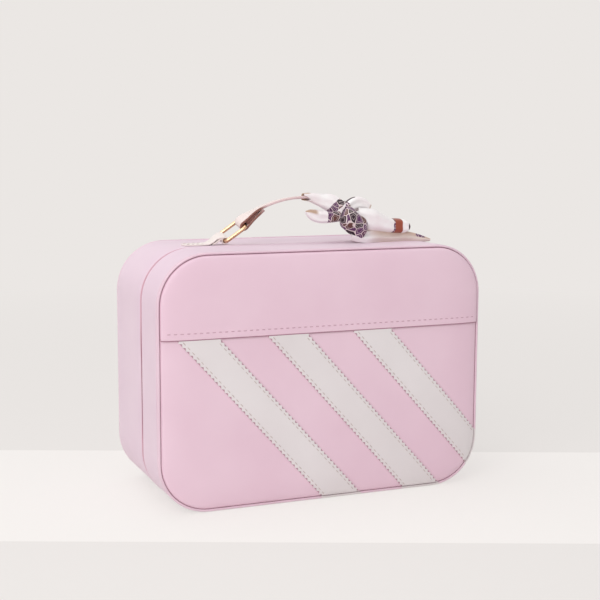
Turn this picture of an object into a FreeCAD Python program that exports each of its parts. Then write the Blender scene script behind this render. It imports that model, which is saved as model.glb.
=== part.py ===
# Soft makeup train case: a zipped lid and body, a strap handle on two rings and a tied scarf.
# Millimetres. +Z is up, the front of the case faces -Y, and the origin is the middle of the base.
import FreeCAD, Part
import Sketcher
import math
import os

Vector = FreeCAD.Vector
Rotation = FreeCAD.Rotation
Placement = FreeCAD.Placement

X_AXIS = Vector(1, 0, 0)
Y_AXIS = Vector(0, 1, 0)
Z_AXIS = Vector(0, 0, 1)

doc = FreeCAD.newDocument("makeup_train_case")

# Driving dimensions: name, value in millimetres or degrees, meaning
SIZES = [
    ("case_width", 280.0, "outside width of the gusset"),
    ("case_height", 204.0, "outside height of the gusset"),
    ("corner_radius", 41.0, "outside corner radius seen from the front"),
    ("seam_depth", 120.0, "from the front seam to the back seam"),
    ("lid_depth", 45.0, "from the front seam to the middle of the zip"),
    ("wall", 3.5, "thickness of the foam backed gusset"),
    ("welt_width", 1.8, "width of the welt round each panel"),
    ("welt_lead", 1.2, "how far a welt stands out past its seam"),
    ("welt_round", 0.8, "rounding of a welt's outer edges"),
    ("seam_gap", 0.2, "groove between a panel and its welt"),
    ("panel_edge", 3.0, "thickness of a panel at its seam"),
    ("front_crown", 4.5, "rise of the front panel's padding"),
    ("back_crown", 2.5, "rise of the back panel's padding"),
    ("crown_corner", 5.0, "corner radius of the flat middle of a crown"),
    ("board", 1.5, "thickness of a stiffening board"),
    ("board_gap", 0.3, "gap between a board and the gusset"),
    ("lining", 0.8, "thickness of the lining"),
    ("lining_gap", 0.1, "gap between the lining and the zip tape"),
    ("lining_setback", 6.0, "from the middle of the zip to the lining's edge"),
    ("yoke_height", 66.0, "from the top of the case to the yoke's hem"),
    ("yoke_thickness", 1.2, "thickness of the yoke"),
    ("overlay_gap", 0.3, "gap between an overlay and the panel's seam"),
    ("hem_gap", 0.3, "gap between the stripes and the yoke's hem"),
    ("stripe_thickness", 1.0, "thickness of a stripe"),
    ("stripe_width", 26.1, "width of a stripe across its run"),
    ("stripe_angle", 48.0, "angle of the stripes from level"),
    ("stripe_pitch", 73.3, "level distance from stripe to stripe"),
    ("stripe_middle", -35.6, "middle of the middle stripe at the hem"),
    ("zip_gap", 7.0, "gap between the two lips of the gusset"),
    ("coil_width", 2.4, "width of one zip coil"),
    ("coil_height", 2.4, "height of a zip coil above its tape"),
    ("tape_width", 14.0, "width of one zip tape"),
    ("tape", 0.6, "thickness of the zip tapes and the hinge strip"),
    ("hinge_length", 172.0, "length of the hinge strip along the base"),
    ("hinge_end_gap", 2.0, "gap between the hinge strip and the zip's ends"),
    ("hinge_lip_gap", 0.3, "gap between the hinge strip and the lid"),
    ("pocket_width", 210.0, "width of the net pocket in the lid"),
    ("pocket_height", 96.0, "height of the net"),
    ("pocket_base", 24.0, "height of the net's lower edge"),
    ("net", 0.7, "thickness of the net"),
    ("elastic_height", 10.0, "height of the pocket's elastic hem"),
    ("elastic", 1.5, "thickness of the elastic hem"),
    ("divider", 6.0, "thickness of a divider"),
    ("divider_depth", 58.0, "depth of a divider, from the back to the front"),
    ("divider_gap", 0.3, "gap round a divider"),
    ("divider_round", 1.5, "rounding of a divider's edges"),
    ("shelf_height", 92.0, "height of the middle of the long divider"),
    ("left_divider", -48.0, "middle of the upper left divider"),
    ("right_divider", 46.0, "middle of the upper right divider"),
    ("lower_divider", 4.0, "middle of the lower divider"),
    ("bar_span", 133.0, "between the two rings' lower bars"),
    ("bar_height", 5.3, "height of the lower bars above the top"),
    ("lean_angle", 14.0, "forward lean of the handle at rest"),
    ("wire", 3.2, "diameter of the rings' wire"),
    ("ring_length", 20.0, "between the two bars of a ring"),
    ("ring_angle", 37.0, "angle of the rings from level"),
    ("ring_round", 2.6, "corner radius of a ring"),
    ("ring_side_gap", 0.5, "gap between a strap's edge and the ring"),
    ("bar_gap", 0.3, "gap between a bar and the leather round it"),
    ("strap_width", 14.0, "width of the handle strap and tabs"),
    ("strap", 2.4, "thickness of the handle strap"),
    ("strap_rise", 33.5, "height of the strap's middle above the bars"),
    ("flap_angle", 14.0, "angle of the arch that the turned back flap lies under"),
    ("flap_gap", 0.15, "gap between the flap's end and the strap"),
    ("loop_leather", 1.3, "thickness of the leather round a lower bar"),
    ("loop_neck", 1.5, "from a loop's round to the end of its tab"),
    ("tab_length", 29.0, "length of a sewn tab"),
    ("tab", 2.4, "thickness of a sewn tab"),
    ("tab_ramp", 8.0, "length of the tab's rise to its loop"),
    ("tab_round", 3.0, "corner radius of a tab's outer end"),
    ("twist_gap", 0.3, "gap between a tab and its loop"),
    ("slider_meet", 103.0, "height where the two sliders meet"),
    ("slider_space", 0.6, "gap between the two sliders"),
    ("slider_length", 11.0, "length of a slider"),
    ("slider_width", 8.4, "width of a slider's top plate"),
    ("slider_plate", 1.3, "thickness of a slider's plates"),
    ("slider_gap", 0.3, "gap between a slider and the zip and lips"),
    ("slider_web", 1.0, "thickness of the web between the coils"),
    ("bridge_length", 8.0, "length of a slider's bridge"),
    ("bridge_width", 3.0, "width of a slider's bridge"),
    ("bridge_height", 3.6, "height of a slider's bridge"),
    ("bridge_bore", 2.6, "diameter of the hole in a bridge"),
    ("pull_pin", 1.8, "diameter of a pull's pin"),
    ("pull_length", 31.0, "from a pull's pin to its tip"),
    ("pull_head", 1.2, "from a pull's pin to the ends of its cheeks"),
    ("pull_neck", 5.0, "from a pull's pin to its tongue"),
    ("pull_shoulder", 25.0, "from a pull's pin to where its tongue narrows"),
    ("pull_width", 8.0, "width of a pull's tongue"),
    ("pull_tip", 4.4, "width of a pull's tip"),
    ("pull", 1.6, "thickness of a pull"),
    ("pull_angle", 3.0, "lean of the upper pull against the wall"),
    ("scarf_place", 39.0, "distance of the scarf's wrap from the handle's middle"),
    ("scarf_wrap", 11.0, "width of the scarf's wrap along the strap"),
    ("scarf_reach", 13.0, "how far the wrap reaches in front of the strap's middle"),
    ("scarf_cloth", 2.0, "thickness of the bunched scarf round the strap"),
    ("scarf_gap", 0.3, "gap between the scarf and the strap"),
    ("scarf_step", 1.0, "length of one step in the stations of the bow's loops and tails"),
    ("knot_length", 33.0, "length of the knot"),
    ("knot_height", 27.0, "height of the knot"),
    ("knot_depth", 15.0, "depth of the knot"),
    ("knot_ahead", 17.5, "how far the knot's middle is in front of the strap's"),
    ("knot_drop", 5.8, "how far the knot's middle is below the strap's"),
    ("knot_shift", -1.0, "how far the knot's middle is to the right of the wrap's"),
]

sheet = doc.addObject("Spreadsheet::Sheet", "dims")
for row, (alias, number, meaning) in enumerate(SIZES, start=1):
    sheet.set(f"A{row}", meaning)
    sheet.set(f"B{row}", str(number))
    sheet.setAlias(f"B{row}", alias)
doc.recompute()


class Length:
    """A length with the sheet expression that gives it and its present value."""

    def __init__(self, text, value):
        self.text = text
        self.value = value

    def __add__(self, other):
        return Length(f"({self.text} + {other.text})", self.value + other.value)

    def __sub__(self, other):
        return Length(f"({self.text} - {other.text})", self.value - other.value)

    def __neg__(self):
        return Length(f"(-{self.text})", -self.value)

    def __mul__(self, factor):
        return Length(f"({self.text} * {factor})", self.value * factor)

    def __truediv__(self, factor):
        return Length(f"({self.text} / {factor})", self.value / factor)


def cell(alias):
    """The length held by one cell of the sheet."""
    return Length(f"dims.{alias}", float(sheet.get(alias)))


def number(alias):
    """The plain value of one cell of the sheet."""
    return cell(alias).value


def bind(thing, path, length):
    """Tie one property of an object to the sheet."""
    thing.setExpression(path, length.text)


# Planes and insets that several pieces share
half_width = cell("case_width") / 2
half_height = cell("case_height") / 2
top = cell("case_height")
front = -(cell("seam_depth") / 2)
back = cell("seam_depth") / 2
zip_plane = front + cell("lid_depth")
lid_lip = zip_plane - cell("zip_gap") / 2
body_lip = zip_plane + cell("zip_gap") / 2
front_inside = front + cell("panel_edge")
back_inside = back - cell("panel_edge")
lid_floor = front_inside + cell("board")
body_floor = back_inside - cell("board")
outside = Length("0", 0.0)
panel_inset = cell("welt_width") + cell("seam_gap")
board_inset = cell("wall") + cell("board_gap")
tape_inset = cell("wall") + cell("tape")
lining_inset = tape_inset + cell("lining_gap")
room_inset = lining_inset + cell("lining")


def new_body(label):
    body = doc.addObject("PartDesign::Body", label)
    body.Label = label
    return body


def origin_plane(body, role):
    return [item for item in body.Origin.OriginFeatures if item.Role == role][0]


def new_sketch(body, name, role, across, up, along):
    """A sketch on an origin plane, moved by lengths along its own three directions."""
    sketch = body.newObject("Sketcher::SketchObject", name)
    sketch.AttachmentSupport = [(origin_plane(body, role), "")]
    sketch.MapMode = "FlatFace"
    for axis, length in (("x", across), ("y", up), ("z", along)):
        bind(sketch, f"AttachmentOffset.Base.{axis}", length)
    return sketch


def add_case_outline(sketch, inset):
    """Rounded rectangle round the sketch's origin: the case's outline, moved in by an inset."""
    wide = half_width - inset
    high = half_height - inset
    radius = cell("corner_radius") - inset
    x, y, r = wide.value, high.value, radius.value
    spots = [(x - r, -y + r, -90), (x - r, y - r, 0), (-x + r, y - r, 90), (-x + r, -y + r, 180)]
    ends = [((-x + r, -y), (x - r, -y)), ((x, -y + r), (x, y - r)),
            ((x - r, y), (-x + r, y)), ((-x, y - r), (-x, -y + r))]
    first = sketch.GeometryCount
    for (cx, cy, begin), (start, end) in zip(spots, ends):
        sketch.addGeometry(Part.LineSegment(Vector(*start), Vector(*end)))
        circle = Part.Circle(Vector(cx, cy), Z_AXIS, r)
        angles = math.radians(begin), math.radians(begin + 90)
        sketch.addGeometry(Part.ArcOfCircle(circle, *angles))
    count = 8
    lower, right, upper, left = (first + step for step in (0, 2, 4, 6))
    for step in range(count):
        following = first + (step + 1) % count
        sketch.addConstraint(Sketcher.Constraint("Tangent", first + step, 2, following, 1))
    for line in (lower, upper):
        sketch.addConstraint(Sketcher.Constraint("Horizontal", line))
    for line in (right, left):
        sketch.addConstraint(Sketcher.Constraint("Vertical", line))
    for arc in (first + 3, first + 5, first + 7):
        sketch.addConstraint(Sketcher.Constraint("Equal", first + 1, arc))
    driven = [
        (Sketcher.Constraint("Radius", first + 1, r), radius),
        (Sketcher.Constraint("DistanceX", -1, 1, right, 1, x), wide),
        (Sketcher.Constraint("DistanceX", left, 1, right, 1, 2 * x), wide * 2),
        (Sketcher.Constraint("DistanceY", -1, 1, upper, 1, y), high),
        (Sketcher.Constraint("DistanceY", lower, 1, upper, 1, 2 * y), high * 2),
    ]
    for constraint, length in driven:
        place = sketch.addConstraint(constraint)
        bind(sketch, f"Constraints[{place}]", length)


def add_polygon(sketch, corners):
    """Closed run of straight lines through corners given as pairs of lengths."""
    first = sketch.GeometryCount
    count = len(corners)
    for place, (x, y) in enumerate(corners):
        x_next, y_next = corners[(place + 1) % count]
        start = Vector(x.value, y.value)
        sketch.addGeometry(Part.LineSegment(start, Vector(x_next.value, y_next.value)))
    for place in range(count):
        following = first + (place + 1) % count
        sketch.addConstraint(Sketcher.Constraint("Coincident", first + place, 2, following, 1))
    for place, (x, y) in enumerate(corners):
        for kind, length in (("DistanceX", x), ("DistanceY", y)):
            constraint = Sketcher.Constraint(kind, -1, 1, first + place, 1, length.value)
            spot = sketch.addConstraint(constraint)
            bind(sketch, f"Constraints[{spot}]", length)


def outline_sketch(body, name, insets, y):
    """A sketch across the case at depth y, with one outline for each inset."""
    sketch = new_sketch(body, name, "XZ_Plane", outside, half_height, -y)
    for inset in insets:
        add_case_outline(sketch, inset)
    return sketch


def add_pad(body, name, sketch, length, midplane=False):
    pad = body.newObject("PartDesign::Pad", name)
    pad.Profile = sketch
    pad.Midplane = midplane
    bind(pad, "Length", length)
    sketch.Visibility = False
    return pad


def add_slab(body, name, insets, y_low, y_high):
    """A plate with one inset, or a ring between two, from y_low to y_high."""
    sketch = outline_sketch(body, name + "_outline", insets, y_high)
    return add_pad(body, name, sketch, y_high - y_low)


def ring_body(label, insets, y_low, y_high):
    body = new_body(label)
    add_slab(body, label + "_slab", insets, y_low, y_high)
    return body


def add_fillet(body, name, base, chosen, radius):
    """Round the edges of a feature that a test picks out."""
    doc.recompute()
    edges = [f"Edge{place}" for place, edge in enumerate(base.Shape.Edges, start=1) if chosen(edge)]
    fillet = body.newObject("PartDesign::Fillet", name)
    fillet.Base = (base, edges)
    bind(fillet, "Radius", radius)
    return fillet


def edge_on_depth(y):
    return lambda edge: all(abs(vertex.Y - y) < 1e-4 for vertex in edge.Vertexes)


def new_box(name, low, high):
    """A box bound to the sheet by its lowest and highest corners."""
    box = doc.addObject("Part::Box", name)
    for side, axis, start, end in zip(("Length", "Width", "Height"), "xyz", low, high):
        bind(box, side, end - start)
        bind(box, f"Placement.Base.{axis}", start)
    return box


def new_cut(label, base, tool):
    cut = doc.addObject("Part::Cut", label)
    cut.Label = label
    cut.Base = base
    cut.Tool = tool
    return cut


def new_common(label, pieces):
    common = doc.addObject("Part::MultiCommon", label)
    common.Label = label
    common.Shapes = pieces
    return common


def new_fuse(label, pieces):
    fuse = doc.addObject("Part::MultiFuse", label)
    fuse.Label = label
    fuse.Shapes = pieces
    fuse.Refine = True
    return fuse


# Padded panels: the crown rises over its shoulder as a quarter of an ellipse
CROWN_STEPS = 5


def crown_form(label, inset, seam, base, crown, lift):
    """A padded form from a flat base, past its seam by a lift, to its crown."""
    body = new_body(label)
    shoulder = cell("corner_radius") - inset - cell("crown_corner")
    stations = [(inset, base), (inset, seam + lift)]
    for step in range(1, CROWN_STEPS + 1):
        share = step / CROWN_STEPS
        rise = math.sqrt(1 - (1 - share) ** 2)
        stations.append((inset + shoulder * share, seam + lift + crown * rise))
    sketches = [outline_sketch(body, f"{label}_ring_{place}", [ring_inset], y)
                for place, (ring_inset, y) in enumerate(stations)]
    loft = body.newObject("PartDesign::AdditiveLoft", label + "_loft")
    loft.Profile = sketches[0]
    loft.Sections = sketches[1:]
    loft.Ruled = True
    return body


front_panel = crown_form("front_panel", panel_inset, front, front_inside, -cell("front_crown"), outside)
back_panel = crown_form("back_panel", panel_inset, back, back_inside, cell("back_crown"), outside)


# Welts: the raised rim sewn round each panel
def welt(label, y_low, y_high, outer):
    body = ring_body(label, [outside, cell("welt_width")], y_low, y_high)
    add_fillet(body, label + "_round", body.Tip, edge_on_depth(outer.value), cell("welt_round"))
    return body


front_edge = front - cell("welt_lead")
back_edge = back + cell("welt_lead")
front_welt = welt("front_welt", front_edge, front_inside, front_edge)
back_welt = welt("back_welt", back_inside, back_edge, back_edge)

# Gussets, boards and linings
gusset_insets = [outside, cell("wall")]
lid_gusset = ring_body("lid_gusset", gusset_insets, front_inside, lid_lip)
body_gusset = ring_body("body_gusset", gusset_insets, body_lip, back_inside)
front_board = ring_body("front_board", [board_inset], front_inside, lid_floor)
back_board = ring_body("back_board", [board_inset], body_floor, back_inside)

lid_lining = ring_body("lid_lining", [lining_inset], lid_floor, lid_floor + cell("lining"))
add_slab(lid_lining, "lid_lining_sides", [lining_inset, room_inset],
         lid_floor + cell("lining"), zip_plane - cell("lining_setback"))
body_lining = ring_body("body_lining", [lining_inset], body_floor - cell("lining"), body_floor)
add_slab(body_lining, "body_lining_sides", [lining_inset, room_inset],
         zip_plane + cell("lining_setback"), body_floor - cell("lining"))
lid_room_floor = lid_floor + cell("lining")
body_room_floor = body_floor - cell("lining")

# Overlays on the front panel: the yoke at the top and three slanted stripes below its hem
hem = top - cell("yoke_height")
overlay_inset = panel_inset + cell("overlay_gap")
far_front = front - cell("case_height")
below = -half_height


def overlay_skin(label, thickness):
    """The layer of one thickness that lies on the front panel."""
    form = crown_form(label + "_form", overlay_inset, front, front, -cell("front_crown"), -thickness)
    return new_cut(label, form, front_panel)


yoke_skin = overlay_skin("yoke_skin", cell("yoke_thickness"))
yoke_block = new_box("yoke_block", (-half_width, far_front, hem), (half_width, front_inside, top))
yoke_panel = new_common("yoke_panel", [yoke_skin, yoke_block])

stripe_skin = overlay_skin("stripe_skin", cell("stripe_thickness"))
stripe_top = hem - cell("hem_gap")
stripe_block = new_box("stripe_block", (-half_width, far_front, outside),
                       (half_width, front_inside, stripe_top))


def stripe(label, places_right):
    """One slanted band, whose middle meets the hem some pitches right of the middle stripe."""
    band = doc.addObject("Part::Box", label + "_band")
    length = cell("case_height") * 2
    bind(band, "Length", length)
    bind(band, "Width", front_inside - far_front)
    bind(band, "Height", cell("stripe_width"))
    slant = Rotation(Y_AXIS, number("stripe_angle"))
    middle = Vector(number("stripe_middle") + places_right * number("stripe_pitch"), 0, hem.value)
    corner = Vector(-length.value / 2, far_front.value, -number("stripe_width") / 2)
    band.Placement = Placement(middle, slant).multiply(Placement(corner, Rotation()))
    return new_common(label, [stripe_skin, stripe_block, band])


stripes = [stripe("stripe_left", -1), stripe("stripe_middle", 0), stripe("stripe_right", 1)]

# Zip: two tapes and two coils, open along the base where the hinge strip runs
half_hinge = cell("hinge_length") / 2
half_zip_opening = half_hinge + cell("hinge_end_gap")
hinge_block = new_box("hinge_block", (-half_zip_opening, front, below),
                      (half_zip_opening, back, room_inset))
half_web = cell("slider_web") / 2
half_split = half_web + cell("slider_gap")
tape_insets = [cell("wall"), tape_inset]
coil_insets = [cell("wall") - cell("coil_height"), cell("wall")]


def zip_half(label, insets, y_low, y_high):
    return new_cut(label, ring_body(label + "_ring", insets, y_low, y_high), hinge_block)


lid_split = zip_plane - half_split
body_split = zip_plane + half_split
zip_tape_lid = zip_half("zip_tape_lid", tape_insets, zip_plane - cell("tape_width"), lid_split)
zip_tape_body = zip_half("zip_tape_body", tape_insets, body_split, zip_plane + cell("tape_width"))
zip_coil_lid = zip_half("zip_coil_lid", coil_insets, lid_split - cell("coil_width"), lid_split)
zip_coil_body = zip_half("zip_coil_body", coil_insets, body_split, body_split + cell("coil_width"))

hinge_strip = new_box("hinge_strip", (-half_hinge, lid_lip + cell("hinge_lip_gap"), cell("wall")),
                      (half_hinge, zip_plane + cell("tape_width"), tape_inset))

# Net pocket on the floor of the lid, with an elastic hem along its top
half_pocket = cell("pocket_width") / 2
net_top = cell("pocket_base") + cell("pocket_height")
net_pocket = new_box("net_pocket", (-half_pocket, lid_room_floor, cell("pocket_base")),
                     (half_pocket, lid_room_floor + cell("net"), net_top))
pocket_elastic = new_box("pocket_elastic", (-half_pocket, lid_room_floor, net_top),
                         (half_pocket, lid_room_floor + cell("elastic"), net_top + cell("elastic_height")))


# Padded dividers that stand on the floor of the body
def divider(label, x_low, x_high, z_low, z_high):
    """A rounded board between four sides, as deep as the dividers are."""
    body = new_body(label)
    y_high = body_room_floor - cell("divider_gap")
    sketch = new_sketch(body, label + "_side", "XZ_Plane", outside, outside, -y_high)
    corners = [(x_low, z_low), (x_high, z_low), (x_high, z_high), (x_low, z_high)]
    add_polygon(sketch, corners)
    pad = add_pad(body, label + "_pad", sketch, cell("divider_depth"))
    add_fillet(body, label + "_round", pad, lambda edge: True, cell("divider_round"))
    return body


half_divider = cell("divider") / 2
shelf_low = cell("shelf_height") - half_divider
shelf_high = cell("shelf_height") + half_divider
room_left = room_inset + cell("divider_gap") - half_width
room_low = room_inset + cell("divider_gap")
room_high = top - room_low
long_divider = divider("long_divider", room_left, -room_left, shelf_low, shelf_high)


def cross_divider(label, middle, z_low, z_high):
    return divider(label, middle - half_divider, middle + half_divider, z_low, z_high)


above_shelf = shelf_high + cell("divider_gap")
under_shelf = shelf_low - cell("divider_gap")
upper_left_divider = cross_divider("upper_left_divider", cell("left_divider"), above_shelf, room_high)
upper_right_divider = cross_divider("upper_right_divider", cell("right_divider"), above_shelf, room_high)
lower_divider = cross_divider("lower_divider", cell("lower_divider"), room_low, under_shelf)

# Zip sliders and pulls on the right wall: the wall's outside is at half the case's width
half_slider = cell("slider_length") / 2
half_plate = cell("slider_width") / 2
half_core = cell("zip_gap") / 2 - cell("slider_gap")
half_bridge = cell("bridge_width") / 2
half_bridge_length = cell("bridge_length") / 2
coil_top = half_width - coil_insets[0] + cell("slider_gap")
plate_low = half_width + cell("slider_gap")
plate_high = plate_low + cell("slider_plate")
inner_high = half_width - tape_inset - cell("slider_gap")
inner_low = inner_high - cell("slider_plate")
pin_x = plate_high + cell("bridge_height") / 2


def slider(label, middle):
    """A zip slider: top plate, core between the lips, web, inner plate and bridge."""
    z_low = middle - half_slider
    z_high = middle + half_slider
    blocks = [
        ("plate", plate_low, plate_high, half_plate, z_low, z_high),
        ("core", coil_top, plate_low, half_core, z_low, z_high),
        ("web", inner_high, coil_top, half_web, z_low, z_high),
        ("inner", inner_low, inner_high, half_core, z_low, z_high),
        ("bridge", plate_high, plate_high + cell("bridge_height"), half_bridge,
         middle - half_bridge_length, middle + half_bridge_length),
    ]
    boxes = [new_box(f"{label}_{name}", (x_low, zip_plane - half, low), (x_high, zip_plane + half, high))
             for name, x_low, x_high, half, low, high in blocks]
    whole = new_fuse(label + "_whole", boxes)
    bore = new_pin(label + "_bore", cell("bridge_bore") / 2, half_bridge * 2, middle)
    return new_cut(label, whole, bore)


def new_pin(name, radius, half_length, z):
    """A cylinder along Y through a slider's bridge."""
    pin = doc.addObject("Part::Cylinder", name)
    bind(pin, "Radius", radius)
    bind(pin, "Height", half_length * 2)
    pin.Placement.Rotation = Rotation(X_AXIS, -90)
    bind(pin, "Placement.Base.x", pin_x)
    bind(pin, "Placement.Base.y", zip_plane - half_length)
    bind(pin, "Placement.Base.z", z)
    return pin


def pull(label, middle, points_up):
    """A pull: a pin through the bridge, two cheeks beside it and a tapered tongue."""
    side = 1 if points_up else -1
    half_thick = cell("pull") / 2
    cheek_in = half_bridge + cell("slider_gap")
    half_tongue = cell("pull_width") / 2
    tongue = new_body(label + "_tongue")
    sketch = new_sketch(tongue, label + "_shape", "YZ_Plane", zip_plane, middle, pin_x)
    head = -(cell("pull_head") * side)
    neck = cell("pull_neck") * side
    shoulder = cell("pull_shoulder") * side
    tip = cell("pull_length") * side
    half_tip = cell("pull_tip") / 2
    corners = [(cheek_in, head), (half_tongue, head), (half_tongue, shoulder), (half_tip, tip),
               (-half_tip, tip), (-half_tongue, shoulder), (-half_tongue, head), (-cheek_in, head),
               (-cheek_in, neck), (cheek_in, neck)]
    add_polygon(sketch, corners)
    add_pad(tongue, label + "_pad", sketch, half_thick * 2, midplane=True)
    pin = new_pin(label + "_pin", cell("pull_pin") / 2, half_tongue, middle)
    whole = new_fuse(label, [tongue, pin])
    if points_up:
        axle = Vector(pin_x.value, zip_plane.value, middle.value)
        whole.Placement = Placement(Vector(), Rotation(Y_AXIS, -number("pull_angle")), axle)
    return whole


slider_offset = (cell("slider_length") + cell("slider_space")) / 2
upper_middle = cell("slider_meet") + slider_offset
lower_middle = cell("slider_meet") - slider_offset
upper_slider = slider("upper_slider", upper_middle)
lower_slider = slider("lower_slider", lower_middle)
upper_pull = pull("upper_pull", upper_middle, True)
lower_pull = pull("lower_pull", lower_middle, False)

# Handle: drawn upright round the lower bars' axis, then leaned forward about that axis
half_strap = cell("strap_width") / 2
half_span = cell("bar_span") / 2
bar_z = top + cell("bar_height")
wire_radius = cell("wire") / 2
loop_inner = wire_radius + cell("bar_gap")
loop_outer = loop_inner + cell("loop_leather")
lean_place = Placement(Vector(0, 0, bar_z.value), Rotation(X_AXIS, number("lean_angle")))
tab_inner_end = half_span + loop_outer + cell("loop_neck")


def tab_sketch(body, label, corners):
    sketch = new_sketch(body, label + "_side", "XZ_Plane", outside, outside, outside)
    add_polygon(sketch, corners)
    return add_pad(body, label + "_pad", sketch, cell("strap_width"), midplane=True)


def mirrored(corners, side):
    return [(x * side, z) for x, z in corners]


def sewn_tab(label, side):
    """A tab sewn flat on the top, rising at its inner end to the height of its loop."""
    body = new_body(label)
    outer = tab_inner_end + cell("tab_length")
    ramp = tab_inner_end + cell("tab_ramp")
    rise = bar_z - loop_outer
    corners = [(outer, top), (ramp, top), (tab_inner_end, rise), (tab_inner_end, rise + cell("tab")),
               (ramp, top + cell("tab")), (outer, top + cell("tab"))]
    pad = tab_sketch(body, label, mirrored(corners, side))
    end = outer.value * side

    def upright_end(edge):
        points = [vertex.Point for vertex in edge.Vertexes]
        return all(abs(point.x - end) < 1e-4 for point in points) and abs(points[0].y - points[1].y) < 1e-4

    add_fillet(body, label + "_round", pad, upright_end, cell("tab_round"))
    return body


def bar_cylinder(name, radius, side):
    """A cylinder as wide as the strap round a lower bar, in the upright handle's frame."""
    cylinder = doc.addObject("Part::Cylinder", name)
    bind(cylinder, "Radius", radius)
    bind(cylinder, "Height", cell("strap_width"))
    cylinder.Placement.Rotation = Rotation(X_AXIS, -90)
    bind(cylinder, "Placement.Base.x", half_span * side)
    bind(cylinder, "Placement.Base.y", -half_strap)
    return cylinder


def tab_loop(label, side):
    """The end of a tab, wrapped round a lower bar; it turns with the handle."""
    neck = new_body(label + "_neck")
    start = tab_inner_end - cell("twist_gap")
    corners = [(start, -loop_outer), (half_span, -loop_outer), (half_span, cell("tab") - loop_outer),
               (start, cell("tab") - loop_outer)]
    tab_sketch(neck, label + "_neck", mirrored(corners, side))
    whole = new_fuse(label + "_whole", [neck, bar_cylinder(label + "_round", loop_outer, side)])
    loop = new_cut(label, whole, bar_cylinder(label + "_bore", loop_inner, side))
    loop.Placement = lean_place
    return loop


sewn_tabs = [sewn_tab("left_tab", -1), sewn_tab("right_tab", 1)]
tab_loops = [tab_loop("left_tab_loop", -1), tab_loop("right_tab_loop", 1)]

ring_half_width = half_strap + cell("ring_side_gap") + wire_radius


def ring(label, side):
    """A rectangular wire ring: its lower bar is on the body's Y axis, its upper bar along +X."""
    body = new_body(label)
    long, half, r = number("ring_length"), ring_half_width.value, number("ring_round")
    runs = [((0, 0), (0, half - r)), ((r, half), (long - r, half)), ((long, half - r), (long, r - half)),
            ((long - r, -half), (r, -half)), ((0, r - half), (0, 0))]
    bends = [(r, half - r, 90), (long - r, half - r, 0), (long - r, r - half, -90), (r, r - half, 180)]
    path = new_sketch(body, label + "_path", "XY_Plane", outside, outside, outside)
    for place, (start, end) in enumerate(runs):
        path.addGeometry(Part.LineSegment(Vector(*start), Vector(*end)))
        if place < len(bends):
            cx, cy, begin = bends[place]
            circle = Part.Circle(Vector(cx, cy), Z_AXIS, r)
            path.addGeometry(Part.ArcOfCircle(circle, math.radians(begin), math.radians(begin + 90)))
    section = new_sketch(body, label + "_wire", "XZ_Plane", outside, outside, outside)
    section.addGeometry(Part.Circle(Vector(), Z_AXIS, wire_radius.value))
    section.addConstraint(Sketcher.Constraint("Coincident", 0, 3, -1, 1))
    spot = section.addConstraint(Sketcher.Constraint("Radius", 0, wire_radius.value))
    bind(section, f"Constraints[{spot}]", wire_radius)
    pipe = body.newObject("PartDesign::AdditivePipe", label + "_pipe")
    pipe.Profile = section
    pipe.Spine = (path, [f"Edge{place}" for place in range(1, path.GeometryCount + 1)])
    tilt = number("ring_angle") if side < 0 else 180 - number("ring_angle")
    upright = Placement(Vector(half_span.value * side, 0, 0), Rotation(Y_AXIS, -tilt))
    body.Placement = lean_place.multiply(upright)
    return body


rings = [ring("left_ring", -1), ring("right_ring", 1)]

# Strap: one band over the arch, turned round each ring's upper bar and back under itself
rise_angle = math.radians(number("ring_angle"))
strap_half = number("strap") / 2
turn_radius = loop_inner.value + strap_half
upper_bar = Vector(number("ring_length") * math.cos(rise_angle) - half_span.value, 0,
                   number("ring_length") * math.sin(rise_angle))
# The arch goes over into the turns smoothly, so a turn's circle lies inside the arch's and touches it
arch_top = number("strap_rise")
drop = arch_top - upper_bar.z
arch_radius = (upper_bar.x ** 2 + drop ** 2 - turn_radius ** 2) / (2 * (drop - turn_radius))
arch_centre = Vector(0, 0, arch_top - arch_radius)
arch_angle = math.atan2(-upper_bar.x, upper_bar.z - arch_centre.z)


def on_arch(radius, angle):
    """A point of the arch at an angle left of its top."""
    return arch_centre + Vector(-math.sin(angle), 0, math.cos(angle)) * radius


def left_turn():
    """Start, middle and end of the turn round the left upper bar, and the flap's end."""
    flap_radius = arch_radius - number("strap") - number("flap_gap")
    flap_end = on_arch(flap_radius, arch_angle - math.radians(number("flap_angle")))
    away = flap_end - upper_bar
    heading = math.atan2(away.z, away.x)
    swing = math.acos(turn_radius / away.Length)
    leave = heading - swing
    enter = arch_angle + math.pi / 2
    middle = (enter + leave + 2 * math.pi) / 2

    def spot(angle):
        return upper_bar + Vector(math.cos(angle), 0, math.sin(angle)) * turn_radius

    return spot(enter), spot(middle), spot(leave), flap_end


def flipped(point):
    return Vector(-point.x, point.y, point.z)


def strap_path():
    """The strap's middle line, from the left flap's end to the right one's."""
    enter, middle, leave, flap_end = left_turn()
    return Part.Wire([
        Part.LineSegment(flap_end, leave).toShape(),
        Part.Arc(leave, middle, enter).toShape(),
        Part.Arc(enter, on_arch(arch_radius, 0), flipped(enter)).toShape(),
        Part.Arc(flipped(enter), flipped(middle), flipped(leave)).toShape(),
        Part.LineSegment(flipped(leave), flipped(flap_end)).toShape(),
    ])


handle_strap = doc.addObject("Part::Feature", "handle_strap")
strap_face = Part.Face(strap_path().makeOffset2D(strap_half))
strap_face.translate(Vector(0, -half_strap.value, 0))
handle_strap.Shape = strap_face.extrude(Vector(0, number("strap_width"), 0))
handle_strap.Placement = lean_place

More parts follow.
